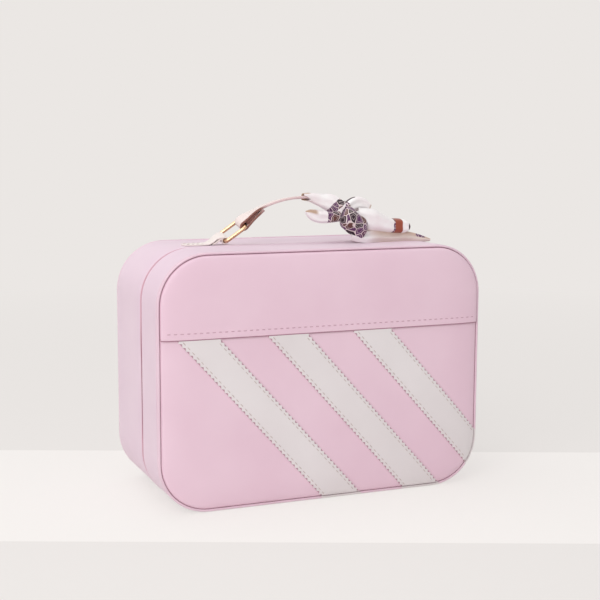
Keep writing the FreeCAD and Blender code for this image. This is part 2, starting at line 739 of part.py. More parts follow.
# Scarf: a band wrapped round the strap, a knot in front of it, and the loops and tails of the bow.
# A lobe's stations are in steps from the knot's middle: across, back, up, half height, half depth.
KNOT_SHAPE = [(-0.5, 0.30, 0.48), (-0.25, 0.82, 0.92), (0, 1, 1), (0.25, 0.85, 0.92), (0.5, 0.45, 0.54)]
UPPER_LEFT_LOOP = [(-8, 3.5, 13.2, 4.6, 3.2), (-20, 3.5, 16, 5.6, 3.8), (-28, 3.5, 17.7, 5.4, 3.6),
                   (-38, 3.5, 18.3, 3.0, 2.4), (-42, 3.5, 17.8, 1.2, 1.0)]
LOWER_LEFT_TAIL = [(-9, 3.5, 4, 3.6, 2.8), (-22, 3.5, 4, 4.9, 3.2), (-30, 3.5, 6.1, 4, 2.8),
                   (-38, 3.5, 7.3, 1.3, 1.1)]
UPPER_RIGHT_LOOP = [(4, 3.5, 10.5, 4.5, 3), (11, 3.5, 14, 5, 3.2), (17, 3.5, 13, 3.8, 2.6),
                    (20.5, 3.5, 11.5, 1.2, 1)]
RIGHT_TAIL = [(12, 2.6, -3, 9.5, 3), (30, 2.6, -4.5, 9, 3), (43.5, 2.6, -5.9, 6.3, 2.6),
              (53, 2.6, -9.2, 5.8, 2.4), (59, 2.6, -8.9, 2, 1.2)]
# The low tail lies along the top: steps across from the wrap, back, over the top, half width, half height
LOW_TAIL = [(9, -20, 11, 4.5, 2.4), (18, -21, 7.6, 6, 2.4), (31, -19.5, 5.6, 6, 2.1),
            (46, -18.5, 4, 5.5, 1.7), (61, -18.5, 3, 4.5, 1.1), (72, -19.5, 1.4, 2, 0.7)]


def lens_across(x, y, z, half_height, half_depth):
    """A pointed oval in a plane across X, its points up and down."""
    low = Vector(x, y, z - half_height)
    high = Vector(x, y, z + half_height)
    near = Vector(x, y - half_depth, z)
    far = Vector(x, y + half_depth, z)
    return Part.Wire([Part.Arc(low, near, high).toShape(), Part.Arc(high, far, low).toShape()])


def lens_flat(x, y, z, half_depth, half_height):
    """A pointed oval in a plane across X, its points to the front and back."""
    near = Vector(x, y - half_depth, z)
    far = Vector(x, y + half_depth, z)
    low = Vector(x, y, z - half_height)
    high = Vector(x, y, z + half_height)
    return Part.Wire([Part.Arc(near, low, far).toShape(), Part.Arc(far, high, near).toShape()])


def lobe(middle, stations, step):
    """A loop or tail lofted through stations, each given in steps from a middle."""
    sections = []
    for station in stations:
        x, y, z, half_height, half_depth = (part * step for part in station)
        sections.append(lens_across(middle.x + x, middle.y + y, middle.z + z, half_height, half_depth))
    return Part.makeLoft(sections, True)


def scarf_shape():
    """The whole tied scarf in the upright handle's frame."""
    angle = math.asin(number("scarf_place") / arch_radius)
    wrap_middle = flipped(on_arch(arch_radius, angle))
    room = strap_half + number("scarf_gap")
    under = turn_radius * 2
    side = half_strap.value + number("scarf_gap")
    cloth = number("scarf_cloth")
    run = number("scarf_wrap")
    reach = number("scarf_reach")
    outer = Part.makeBox(run, reach + side + cloth, 2 * (room + cloth) + under,
                         Vector(-run / 2, -reach, -room - under - cloth))
    inner = Part.makeBox(run * 2, 2 * side, 2 * room + under, Vector(-run, -side, -room - under))
    wrap = outer.cut(inner)
    wrap.Placement = Placement(wrap_middle, Rotation(Y_AXIS, math.degrees(angle)))
    knot_offset = Vector(number("knot_shift"), -number("knot_ahead"), -number("knot_drop"))
    knot_middle = wrap_middle + knot_offset
    length = number("knot_length")
    half_high = number("knot_height") / 2
    half_deep = number("knot_depth") / 2
    knot = [(x * length, 0, 0, high * half_high, deep * half_deep) for x, high, deep in KNOT_SHAPE]
    step = number("scarf_step")
    lobes = [lobe(knot_middle, knot, 1)]
    lobes += [lobe(knot_middle, stations, step) for stations in
              (UPPER_LEFT_LOOP, LOWER_LEFT_TAIL, UPPER_RIGHT_LOOP, RIGHT_TAIL)]
    tail_sections = []
    for station in LOW_TAIL:
        x, y, z, half_width, half_height = (part * step for part in station)
        tail_sections.append(lens_flat(wrap_middle.x + x, y, top.value + z, half_width, half_height))
    low_tail = Part.makeLoft(tail_sections, True)
    low_tail.transformShape(lean_place.inverse().toMatrix())
    return wrap.multiFuse(lobes + [low_tail])


scarf = doc.addObject("Part::Feature", "scarf")
scarf.Shape = scarf_shape()
scarf.Placement = lean_place

doc.recompute()

pieces = [
    front_panel, front_welt, lid_gusset, front_board, lid_lining, yoke_panel, *stripes,
    zip_tape_lid, zip_coil_lid, net_pocket, pocket_elastic,
    back_panel, back_welt, body_gusset, back_board, body_lining, zip_tape_body, zip_coil_body, hinge_strip,
    long_divider, upper_left_divider, upper_right_divider, lower_divider, *sewn_tabs,
    upper_slider, lower_slider, upper_pull, lower_pull,
    *tab_loops, *rings, handle_strap, scarf,
]

for item in doc.Objects:
    if "Invalid" in item.State or "Error" in item.State:
        raise RuntimeError(f"{item.Name} failed: {item.State}")
for piece in pieces:
    if piece.Shape.isNull() or not piece.Shape.isValid() or not piece.Shape.Solids:
        raise RuntimeError(f"{piece.Label} has no sound solid")

os.makedirs("parts", exist_ok=True)
for piece in pieces:
    piece.Shape.exportStep(f"parts/{piece.Label}.step")
    print(f"{piece.Label}: {len(piece.Shape.Solids)} solid, {piece.Shape.Volume:.0f} mm3")
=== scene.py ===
# Soft makeup train case in a plain studio: padded panels, stitched stripes, zip, strap handle and tied scarf.
import math

import bmesh
import bpy
from mathutils import Matrix, Vector


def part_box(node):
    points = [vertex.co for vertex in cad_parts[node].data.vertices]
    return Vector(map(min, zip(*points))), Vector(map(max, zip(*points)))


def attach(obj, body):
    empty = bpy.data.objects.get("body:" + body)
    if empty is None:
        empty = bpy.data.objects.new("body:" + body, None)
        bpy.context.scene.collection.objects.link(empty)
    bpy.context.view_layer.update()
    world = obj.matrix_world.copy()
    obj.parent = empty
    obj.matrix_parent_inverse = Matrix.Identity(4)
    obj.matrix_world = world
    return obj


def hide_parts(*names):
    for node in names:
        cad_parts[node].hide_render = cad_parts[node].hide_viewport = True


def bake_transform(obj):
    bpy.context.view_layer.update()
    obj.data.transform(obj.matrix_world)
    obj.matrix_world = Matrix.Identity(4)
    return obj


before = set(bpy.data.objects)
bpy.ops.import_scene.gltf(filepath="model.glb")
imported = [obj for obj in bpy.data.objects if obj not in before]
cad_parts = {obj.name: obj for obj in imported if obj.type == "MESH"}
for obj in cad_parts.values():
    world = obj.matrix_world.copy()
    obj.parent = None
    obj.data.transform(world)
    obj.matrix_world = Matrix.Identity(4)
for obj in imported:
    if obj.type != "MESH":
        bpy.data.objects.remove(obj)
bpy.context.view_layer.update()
scene = bpy.context.scene

# Sizes of the case
MM = 0.001
HALF_WIDTH = 140 * MM
HEIGHT = 204 * MM
CORNER = 41 * MM
FRONT = -60 * MM
BACK = 60 * MM
ZIP = -15 * MM
HEM = 138 * MM
CORNER_STEPS = 16
STRIPE_WIDTH = 26.1 * MM
STRIPE_ANGLE = math.radians(48)
STRIPE_PITCH = 73.3 * MM
STRIPE_MIDDLE = -35.6 * MM
CROWN_SHARES = (0.012, 0.035, 0.07, 0.12, 0.18, 0.26, 0.36, 0.48, 0.62, 0.8, 1.0)
SHOULDER = 33 * MM
FRONT_CROWN = 4.5 * MM
BACK_CROWN = 2.5 * MM
PANEL_INSET = 2.45 * MM
PANEL_DEPTH = 3.2 * MM
YOKE_LIFT = 1.3 * MM
STRIPE_LIFT = 1.0 * MM
STRIPE_RUN = Vector((math.cos(STRIPE_ANGLE), -math.sin(STRIPE_ANGLE)))
STRIPE_SIDE = Vector((math.sin(STRIPE_ANGLE), math.cos(STRIPE_ANGLE)))
ZIP_END = 88 * MM


def colour(text):
    """Linear colour from its screen notation."""
    parts = [int(text[place:place + 2], 16) / 255 for place in (1, 3, 5)]
    return [((part + 0.055) / 1.055) ** 2.4 if part > 0.04045 else part / 12.92 for part in parts] + [1.0]


def smooth_step(low, high, value):
    share = min(max((value - low) / (high - low), 0.0), 1.0)
    return share * share * (3 - 2 * share)


def hump(start, full, fade, end, value):
    """One from full to fade, and nothing before start and after end."""
    return smooth_step(start, full, value) * (1 - smooth_step(fade, end, value))


# Selecting, editing and finishing pieces
def deselect_all():
    bpy.ops.object.select_all(action="DESELECT")


def dressed(name):
    """Name of the piece that stands for a solid."""
    return name + "_dressed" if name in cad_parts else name


def name_active(name):
    piece = bpy.context.object
    piece.name = piece.data.name = dressed(name)
    return piece


def make_active(piece):
    deselect_all()
    piece.select_set(True)
    bpy.context.view_layer.objects.active = piece


def edit(piece):
    make_active(piece)
    bpy.ops.object.mode_set(mode="EDIT")


def leave_edit():
    bpy.ops.object.mode_set(mode="OBJECT")


def select_all():
    """Select all of the edited piece."""
    bpy.ops.mesh.select_all(action="SELECT")


def pick(kind, test):
    """Select the vertices, edges or faces of the edited piece that a test picks out."""
    bpy.ops.mesh.select_mode(type=kind)
    bpy.ops.mesh.select_all(action="DESELECT")
    mesh = bmesh.from_edit_mesh(bpy.context.object.data)
    for item in {"VERT": mesh.verts, "EDGE": mesh.edges, "FACE": mesh.faces}[kind]:
        item.select_set(bool(test(item)))
    mesh.select_flush_mode()
    bmesh.update_edit_mesh(bpy.context.object.data)


def extrude(*step):
    """Pull the selected part of the edited piece out by a step."""
    bpy.ops.mesh.extrude_region_move(TRANSFORM_OT_translate={"value": step})


def apply_place():
    """Carry the active piece's place, turn and scale into its mesh."""
    bpy.ops.object.transform_apply(location=True, rotation=True, scale=True)


def add_box(name, size, centre=(0, 0, 0)):
    """Box as the start of a piece."""
    deselect_all()
    bpy.ops.mesh.primitive_cube_add(size=1, location=centre)
    piece = name_active(name)
    piece.scale = size
    apply_place()
    return piece


def add_grid(name, columns, rows, size, centre, turn=(0, 0, 0)):
    """Flat grid as the start of a thin piece."""
    deselect_all()
    bpy.ops.mesh.primitive_grid_add(x_subdivisions=columns, y_subdivisions=rows, size=1, rotation=turn)
    piece = name_active(name)
    piece.scale = (*size, 1)
    piece.location = centre
    apply_place()
    return piece


def apply_modifier(piece, kind, **settings):
    make_active(piece)
    modifier = piece.modifiers.new(kind.lower(), kind)
    for key, value in settings.items():
        setattr(modifier, key, value)
    bpy.ops.object.modifier_apply(modifier=modifier.name)


def soften(piece, width, segments=2, degrees=60):
    """Round the sharp edges of a piece."""
    apply_modifier(piece, "BEVEL", width=width, segments=segments, limit_method="ANGLE",
                   angle_limit=math.radians(degrees))


def recalculate_normals(piece):
    edit(piece)
    select_all()
    bpy.ops.mesh.remove_doubles(threshold=0.01 * MM)
    bpy.ops.mesh.normals_make_consistent(inside=False)
    leave_edit()


def shade(piece, degrees=40):
    make_active(piece)
    bpy.ops.object.shade_smooth_by_angle(angle=math.radians(degrees))


def move_points(piece, mover):
    """Move each vertex of a piece to where a function of its place puts it."""
    for vertex in piece.data.vertices:
        vertex.co = mover(*vertex.co)
    piece.data.update()


def paint_points(piece, name, shares):
    """Give each vertex of a piece a share that its material reads by name."""
    piece.data.attributes.new(name, "FLOAT", "POINT").data.foreach_set("value", shares)


def remove(piece):
    bpy.data.objects.remove(piece, do_unlink=True)


def join(pieces, name):
    deselect_all()
    for piece in pieces:
        piece.select_set(True)
    bpy.context.view_layer.objects.active = pieces[0]
    bpy.ops.object.join()
    return name_active(name)


def coat(piece, material):
    piece.data.materials.clear()
    piece.data.materials.append(material)


def finish_piece(piece, body, material, nodes=()):
    """Give a finished piece its material, its body and the solids that it stands for."""
    coat(piece, material)
    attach(piece, body)
    if nodes:
        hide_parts(*nodes)


# Materials
class Graph:
    """The nodes of a material or a group, added and linked by short calls."""

    def __init__(self, tree):
        self.tree = tree

    def feed(self, node, inputs):
        for key, value in inputs.items():
            if isinstance(value, bpy.types.NodeSocket):
                self.tree.links.new(value, node.inputs[key])
            else:
                node.inputs[key].default_value = value

    def node(self, kind, inputs=(), **settings):
        node = self.tree.nodes.new(kind)
        for key, value in settings.items():
            setattr(node, key, value)
        self.feed(node, dict(inputs))
        return node

    def maths(self, operation, first, second=0.0, third=0.0):
        return self.node("ShaderNodeMath", {0: first, 1: second, 2: third}, operation=operation).outputs[0]

    def product(self, first, second):
        return self.maths("MULTIPLY", first, second)

    def mix(self, share, first, second):
        """Mix of two colours, which are the node's inputs 6 and 7."""
        return self.node("ShaderNodeMix", {0: share, 6: first, 7: second}, data_type="RGBA").outputs[2]

    def band(self, value, low, high, low_out=0.0, high_out=1.0):
        """Straight rise or fall between two outputs, and level outside."""
        inputs = {0: value, 1: low, 2: high, 3: low_out, 4: high_out}
        return self.node("ShaderNodeMapRange", inputs).outputs[0]

    def place(self):
        return self.node("ShaderNodeTexCoord").outputs["Object"]

    def split(self, place):
        """The x, y and z of a place."""
        return self.node("ShaderNodeSeparateXYZ", {0: place}).outputs

    def noise(self, place, scale, detail, roughness=0.5):
        inputs = {"Vector": place, "Scale": scale, "Detail": detail, "Roughness": roughness}
        return self.node("ShaderNodeTexNoise", inputs).outputs

    def attribute(self, name):
        return self.node("ShaderNodeAttribute", attribute_name=name).outputs["Fac"]

    def bump(self, height, strength, distance):
        inputs = {"Height": height, "Strength": strength, "Distance": distance}
        return self.node("ShaderNodeBump", inputs).outputs["Normal"]

    def group(self, tree, inputs):
        return self.node("ShaderNodeGroup", inputs, node_tree=tree).outputs

    def background_share(self):
        """One for rays that show the plain background: from the camera, off gloss and through glass."""
        rays = self.node("ShaderNodeLightPath").outputs
        further = self.maths("MAXIMUM", rays["Is Glossy Ray"], rays["Is Transmission Ray"])
        return self.maths("MAXIMUM", rays["Is Camera Ray"], further)


def new_group(name, inputs, outputs):
    """An empty shader group with named sockets, its graph and its two end nodes."""
    tree = bpy.data.node_groups.new(name, "ShaderNodeTree")
    for socket, kind, value in inputs:
        made = tree.interface.new_socket(socket, in_out="INPUT", socket_type=kind)
        if value is not None:
            made.default_value = value
    for socket in outputs:
        tree.interface.new_socket(socket, in_out="OUTPUT", socket_type="NodeSocketFloat")
    graph = Graph(tree)
    return tree, graph, graph.node("NodeGroupInput"), graph.node("NodeGroupOutput")


def make_grain_group():
    """Coated leather: fine pebbles for the bump, and a slow drift for the tone."""
    tree, graph, given, out = new_group(
        "leather_grain",
        [("Vector", "NodeSocketVector", None), ("Pebble", "NodeSocketFloat", 1400.0),
         ("Drift", "NodeSocketFloat", 14.0)],
        ["Height", "Tone"])
    place, pebble, drift = (given.outputs[name] for name in ("Vector", "Pebble", "Drift"))
    pebbles = graph.node("ShaderNodeTexVoronoi", {"Vector": place, "Scale": pebble}, feature="SMOOTH_F1")
    fine = graph.noise(place, pebble, 2.0)[0]
    slow = graph.noise(place, drift, 3.0)[0]
    height = graph.maths("MULTIPLY_ADD", fine, 0.5, pebbles.outputs["Distance"])
    graph.feed(out, {"Height": height, "Tone": slow})
    return tree


def make_weave_group():
    """Plain weave: threads that pass over and under each other in two directions."""
    tree, graph, given, out = new_group(
        "plain_weave", [("Vector", "NodeSocketVector", None), ("Threads", "NodeSocketFloat", 900.0)],
        ["Height", "Tone"])
    place, threads = given.outputs["Vector"], given.outputs["Threads"]
    x, y, z = graph.split(place)
    waves = []
    for run in (graph.maths("ADD", x, y), z):
        waves.append(graph.maths("SINE", graph.product(graph.product(run, threads), math.pi)))
    height = graph.maths("MULTIPLY_ADD", graph.product(*waves), 0.5, 0.5)
    graph.feed(out, {"Height": height, "Tone": graph.noise(place, 120.0, 3.0)[0]})
    return tree


GRAIN = make_grain_group()
WEAVE = make_weave_group()


def start_material(name):
    material = bpy.data.materials.new(name)
    material.use_nodes = True
    graph = Graph(material.node_tree)
    return material, graph, material.node_tree.nodes["Principled BSDF"]


def leather(name, base, deep, pebble, roughness, paint=None):
    """Coated leather with a fine grain; paint may change its colour by place."""
    material, graph, shader = start_material(name)
    place = graph.place()
    grain = graph.group(GRAIN, {"Vector": place, "Pebble": pebble})
    tone = graph.mix(graph.band(grain["Tone"], 0.35, 0.65), colour(base), colour(deep))
    if paint:
        tone = paint(graph, place, tone)
    graph.feed(shader, {
        "Base Color": tone,
        "Roughness": graph.band(grain["Height"], 0.1, 0.9, roughness - 0.05, roughness + 0.07),
        "Normal": graph.bump(grain["Height"], 0.22, 0.06 * MM),
        "Sheen Weight": 0.08,
        "Specular IOR Level": 0.4})
    return material


def cloth(name, base, deep, threads):
    """Woven cloth with slubs."""
    material, graph, shader = start_material(name)
    weave = graph.group(WEAVE, {"Vector": graph.place(), "Threads": threads})
    woven = graph.mix(weave["Height"], colour(deep), colour(base))
    slubbed = graph.mix(graph.band(weave["Tone"], 0.3, 0.8, 0.0, 0.35), woven, colour(deep))
    graph.feed(shader, {
        "Base Color": slubbed,
        "Roughness": 0.85,
        "Normal": graph.bump(weave["Height"], 0.5, 0.15 * MM),
        "Sheen Weight": 0.25})
    return material


def thread(name, base, deep):
    """Twisted sewing thread."""
    material, graph, shader = start_material(name)
    twist = graph.noise(graph.place(), 2600.0, 1.0)[0]
    graph.feed(shader, {
        "Base Color": graph.mix(twist, colour(base), colour(deep)),
        "Roughness": 0.7,
        "Normal": graph.bump(twist, 0.3, 0.1 * MM)})
    return material


def metal(name, base, worn, roughness):
    """Polished plate with faint rubbing marks."""
    material, graph, shader = start_material(name)
    rubs = graph.noise(graph.place(), 240.0, 5.0, 0.7)[0]
    graph.feed(shader, {
        "Base Color": graph.mix(graph.band(rubs, 0.45, 0.75, 0.0, 0.5), colour(base), colour(worn)),
        "Metallic": 1.0,
        "Roughness": graph.band(rubs, 0.3, 0.8, roughness - 0.05, roughness + 0.12)})
    return material


def stripe_paint(graph, place, tone):
    """Cream where one of the three stripes would run on over a place below the hem."""
    x, _, z = graph.split(place)
    sine, cosine = math.sin(STRIPE_ANGLE), math.cos(STRIPE_ANGLE)
    pitch, half, soft = STRIPE_PITCH * sine, STRIPE_WIDTH / 2, 0.3 * MM
    rise = graph.maths("SUBTRACT", z, HEM)
    across = graph.maths("ADD", graph.product(x, sine), graph.product(rise, cosine))
    away = graph.maths("SUBTRACT", across, STRIPE_MIDDLE * sine)
    inside = graph.band(graph.maths("PINGPONG", away, pitch / 2), half - soft, half + soft, 1.0, 0.0)
    low = graph.band(z, HEM - 0.5 * MM, HEM, 1.0, 0.0)
    three = graph.band(graph.maths("ABSOLUTE", away), 1.45 * pitch, 1.5 * pitch, 1.0, 0.0)
    return graph.mix(graph.product(graph.product(inside, low), three), tone, colour("#E2DADA"))


def lip_paint_and_gape_shade(graph, place, tone):
    """Rose inside of the rolled lips along the zip, darkened with painted shade where they gape."""
    _, y, z = graph.split(place)
    away = graph.maths("ABSOLUTE", graph.maths("SUBTRACT", y, ZIP))
    # Painted shade: darker rose where the lips gape open.
    deep = graph.product(graph.band(z, 45 * MM, 75 * MM), graph.band(z, 115 * MM, 150 * MM, 1.0, 0.0))
    rose_and_gape_shade = graph.mix(deep, colour("#CC9FAE"), colour("#9C6474"))
    return graph.mix(graph.band(away, 2.1 * MM, 2.6 * MM, 1.0, 0.0), tone, rose_and_gape_shade)


def edge_paint(graph, place, tone):
    """Painted edges along both sides of the strap, darker at its ends."""
    x, _, _ = graph.split(place)
    end = graph.band(graph.maths("ABSOLUTE", x), 32 * MM, 38 * MM)
    paint = graph.mix(end, colour("#E3CBCB"), colour("#8E6055"))
    return graph.mix(graph.band(graph.attribute("edge_share"), 0.2, 0.6), tone, paint)


def net_cloth():
    """Open net: threads in a lattice with clear holes."""
    material, graph, shader = start_material("net_cloth")
    x, _, z = graph.split(graph.place())
    gaps = []
    for slant in ("ADD", "SUBTRACT"):
        wave = graph.maths("SINE", graph.product(graph.maths(slant, x, z), 900.0))
        gaps.append(graph.maths("ABSOLUTE", wave))
    hole = graph.maths("MINIMUM", *gaps)
    graph.feed(shader, {
        "Base Color": graph.mix(hole, colour("#D9BEC9"), colour("#C8A9B6")),
        "Alpha": graph.band(hole, 0.35, 0.5, 1.0, 0.12),
        "Roughness": 0.8})
    return material


def silk():
    """Printed satin: pale ground, a mosaic print of plum and brown, and a rust border."""
    material, graph, shader = start_material("printed_satin")
    place = graph.place()
    warp = graph.noise(place, 110.0, 0.0)["Color"]
    bent = graph.node("ShaderNodeVectorMath", {0: warp, 1: [4 * MM] * 3, 2: place}, operation="MULTIPLY_ADD")
    mosaic = {"Vector": bent.outputs[0], "Scale": 165.0, "Randomness": 0.9}
    cells = graph.node("ShaderNodeTexVoronoi", mosaic).outputs["Color"]
    gap = graph.node("ShaderNodeTexVoronoi", mosaic, feature="DISTANCE_TO_EDGE").outputs["Distance"]
    tint = graph.node("ShaderNodeSeparateColor", {0: cells}).outputs
    dark = graph.mix(graph.band(tint[0], 0.4, 0.5), colour("#2A1222"), colour("#5A2A5A"))
    dark = graph.mix(graph.band(tint[1], 0.82, 0.86), dark, colour("#5E3530"))
    ring = graph.maths("ABSOLUTE", graph.maths("SUBTRACT", gap, 0.22))
    line = graph.maths("MAXIMUM", graph.band(gap, 0.035, 0.06, 0.9, 0.0),
                       graph.band(ring, 0.012, 0.03, 0.6, 0.0))
    figured = graph.mix(line, dark, colour("#E4D3D2"))
    rust, printed, hem = (graph.band(graph.attribute(name), 0.43, 0.57)
                          for name in ("rust_share", "print_share", "hem_and_shade_share"))
    drift = graph.noise(place, 70.0, 2.0)[0]
    tone = graph.mix(graph.band(drift, 0.3, 0.7), colour("#FAF7F7"), colour("#F0E5E7"))
    # Tan of the satin's reverse side, with painted shade under and inside the folds.
    tone = graph.mix(graph.attribute("reverse_and_shade_share"), tone, colour("#BFA08A"))
    tone = graph.mix(rust, tone, colour("#9A4630"))
    tone = graph.mix(printed, tone, figured)
    # Dark hem of the print, also painted shade inside the ear's open end.
    tone = graph.mix(hem, tone, colour("#3B1E2B"))
    weave = graph.group(WEAVE, {"Vector": place, "Threads": 3200.0})
    graph.feed(shader, {
        "Base Color": tone,
        "Roughness": graph.band(drift, 0.2, 0.8, 0.26, 0.38),
        "Specular IOR Level": 0.4,
        "Sheen Weight": 0.12,
        "Normal": graph.bump(weave["Height"], 0.12, 0.04 * MM)})
    return material


PINK = leather("pink_panel_leather", "#E9CBD9", "#E5C5D4", 1500, 0.46)
LILAC = leather("lilac_gusset_leather", "#E5CFDB", "#E1C9D7", 1500, 0.5, lip_paint_and_gape_shade)
RIM = leather("rim_leather", "#E6CBD8", "#E0C3D0", 1500, 0.46, stripe_paint)
CREAM = leather("cream_stripe_leather", "#E5DFE0", "#E0D9DA", 1100, 0.5)
# Dark thread colour of the seam strips in the welt grooves and under the yoke's hem: painted shadow.
SEAM_SHADOW = thread("seam_shadow_thread", "#AD8393", "#9C7080")
# Darker colour seen in the stripes' notches: painted shade of the pinked edges.
NOTCH_SHADE = thread("painted_notch_shade", "#C29AA8", "#B18896")
STITCH = thread("panel_stitch_thread", "#CEA8B8", "#C29AAC")
STRAP = leather("strap_leather", "#EFE3DE", "#E9D9D5", 1300, 0.45, edge_paint)
TAB = leather("tab_leather", "#F0E7E2", "#E8DBD7", 1300, 0.45)
# Dark brown filling of the fold's gap: painted shade.
FOLD_SHADE = leather("painted_fold_shade", "#94665B", "#7C5047", 1300, 0.55)
CREAM_STITCH = thread("cream_stitch_thread", "#CDBFBC", "#BBAAA8")
GOLD = metal("gold_plate", "#DDBB98", "#C79F7A", 0.22)
COIL = thread("zip_teeth_nylon", "#B27D8D", "#9E6A7B")
TAPE = cloth("zip_tape_weave", "#BE8C9B", "#A87585", 1400)
LINING = cloth("lining_weave", "#E3D3D6", "#D4C1C6", 1100)
PILE = cloth("divider_pile", "#E4C9D3", "#D5B5C2", 700)
ELASTIC = cloth("elastic_rib", "#DDBFCB", "#C6A2B1", 800)
NET = net_cloth()
SILK = silk()
BOARD = leather("stiff_board", "#B9A58F", "#A8927B", 500, 0.9)


# Outlines and swept walls
def add_outline(name, inset, y, facing=-1, cuts=20):
    """Flat face across the case with its rounded outline, moved in by an inset; left in edit mode."""
    deselect_all()
    turn = (-facing * math.pi / 2, 0, 0)
    bpy.ops.mesh.primitive_plane_add(size=1, location=(0, y, HEIGHT / 2), rotation=turn)
    piece = name_active(name)
    piece.scale = (2 * (HALF_WIDTH - inset), HEIGHT - 2 * inset, 1)
    apply_place()
    edit(piece)
    select_all()
    bpy.ops.mesh.bevel(offset=CORNER - inset, segments=CORNER_STEPS, affect="VERTICES")
    pick("EDGE", lambda edge: edge.calc_length() > CORNER)
    bpy.ops.mesh.subdivide(number_cuts=cuts)
    bpy.ops.mesh.select_mode(type="FACE")
    select_all()
    return piece


def outline_points(inset):
    """Corners of the case's outline as pairs of x and z."""
    piece = add_outline("outline", inset, 0)
    mesh = bmesh.from_edit_mesh(piece.data)
    mesh.faces.ensure_lookup_table()
    points = [(loop.vert.co.x, loop.vert.co.z) for loop in mesh.faces[0].loops]
    leave_edit()
    remove(piece)
    return points


def flat_curve(name, points, closed):
    """Flat line through points, as a curve."""
    data = bpy.data.curves.new(name, "CURVE")
    data.dimensions = "2D"
    data.fill_mode = "NONE"
    line = data.splines.new("POLY")
    line.points.add(len(points) - 1)
    for point, (x, y) in zip(line.points, points):
        point.co = (x, y, 0, 1)
    line.use_cyclic_u = closed
    curve = bpy.data.objects.new(name, data)
    scene.collection.objects.link(curve)
    return curve


def sweep(name, path, profile, closed_path=True):
    """A closed profile of (inset, y) points swept along a path of (x, z) points in the XZ plane."""
    guide = flat_curve(name + "_profile", [(inset, -y) for inset, y in profile], True)
    piece = flat_curve(name, path, closed_path)
    piece.data.bevel_mode = "OBJECT"
    piece.data.bevel_object = guide
    piece.data.use_fill_caps = not closed_path
    make_active(piece)
    bpy.ops.object.convert(target="MESH")
    piece = name_active(name)
    piece.rotation_euler = (math.pi / 2, 0, 0)
    apply_place()
    remove(guide)
    recalculate_normals(piece)
    return piece


CASE_PATH = outline_points(0)


def swept_wall(name, profile):
    """A wall round the case from a closed profile of (inset, y) points in millimetres."""
    return sweep(name, CASE_PATH, [(inset * MM, y * MM) for inset, y in profile])


# Places on the crowned front
def depth_inside(x, z):
    """Distance of a place on the front from the case's outline."""
    across = abs(x) - (HALF_WIDTH - CORNER)
    up = abs(z - HEIGHT / 2) - (HEIGHT / 2 - CORNER)
    outside = math.hypot(max(across, 0.0), max(up, 0.0))
    return CORNER - outside - min(max(across, up), 0.0)


def front_height(x, z, lift):
    """How far back the front's face lies at a place, with an overlay's thickness on it."""
    share = min(max((depth_inside(x, z) - PANEL_INSET) / SHOULDER, 0.0), 1.0)
    return FRONT - lift - FRONT_CROWN * math.sqrt(1 - (1 - share) ** 2)


def crowned_sheet(name, facing, rise, lift=0.0):
    """Face that rises from its edge along a quarter ellipse, as over padding; left in edit mode."""
    piece = add_outline(name, PANEL_INSET, (FRONT if facing < 0 else BACK) + facing * lift, facing)
    last_share, last_height = 0.0, 0.0
    for share in CROWN_SHARES:
        height = rise * math.sqrt(1 - (1 - share) ** 2)
        bpy.ops.mesh.inset(thickness=SHOULDER * (share - last_share), depth=height - last_height)
        last_share, last_height = share, height
    return piece


def close_back(facing, depth):
    """Carry the open edge of the edited sheet back and close it."""
    pick("EDGE", lambda edge: edge.is_boundary)
    extrude(0, -facing * depth, 0)
    bpy.ops.mesh.edge_face_add()
    leave_edit()


# Copies of small repeated shapes
def copies(name, pattern, places):
    """One mesh of many copies of a small pattern piece, which is then removed."""
    mesh = bmesh.new()
    for place in places:
        known = len(mesh.verts)
        mesh.from_mesh(pattern.data)
        mesh.verts.ensure_lookup_table()
        bmesh.ops.transform(mesh, matrix=place, verts=mesh.verts[known:])
    data = bpy.data.meshes.new(dressed(name))
    mesh.to_mesh(data)
    mesh.free()
    piece = bpy.data.objects.new(dressed(name), data)
    scene.collection.objects.link(piece)
    remove(pattern)
    make_active(piece)
    bpy.ops.object.shade_smooth()
    return piece


def pattern_stitch(length, width):
    """One sewn stitch along X, sunk at both ends, raised towards +Z."""
    deselect_all()
    bpy.ops.mesh.primitive_cylinder_add(vertices=8, radius=width / 2, depth=length * 0.6,
                                        rotation=(0, math.pi / 2, 0))
    piece = name_active("stitch")
    apply_place()
    edit(piece)
    for side in (-1, 1):
        pick("FACE", lambda face: face.normal.x * side > 0.9)
        extrude(side * length * 0.2, 0, -width * 0.25)
        bpy.ops.transform.resize(value=(1, 0.35, 0.35))
    leave_edit()
    return piece


def along(start, end, outward):
    """Matrix that lays a pattern from start to end with its top outward."""
    run = (end - start).normalized()
    side = outward.cross(run).normalized()
    top = run.cross(side)
    turn = Matrix((run, side, top)).transposed().to_4x4()
    return Matrix.Translation((start + end) / 2) @ turn


def stitch_row(places, lift):
    """Stitches on the front between pairs of (x, z) places."""
    rows = []
    for first, last in places:
        start = Vector((first[0], front_height(*first, lift) - 0.05 * MM, first[1]))
        end = Vector((last[0], front_height(*last, lift) - 0.05 * MM, last[1]))
        rows.append(along(start, end, Vector((0, -1, 0))))
    return rows


# Front and back panels, yoke and stripes
def build_panel(name, facing, rise, body):
    piece = crowned_sheet(name, facing, rise)
    close_back(facing, PANEL_DEPTH)
    recalculate_normals(piece)
    shade(piece, 50)
    finish_piece(piece, body, PINK, [name])


def overlay_sheet(name, lift, thickness, low, high):
    """Closed sheet over the crowned front between two heights."""
    sheet = crowned_sheet(name, -1, FRONT_CROWN, lift)
    for level, lower in ((low, True), (high, False)):
        if level is not None:
            select_all()
            bpy.ops.mesh.bisect(plane_co=(0, 0, level), plane_no=(0, 0, 1), clear_inner=lower,
                                clear_outer=not lower)
    leave_edit()
    apply_modifier(sheet, "SOLIDIFY", thickness=thickness, offset=-1)
    recalculate_normals(sheet)
    return sheet


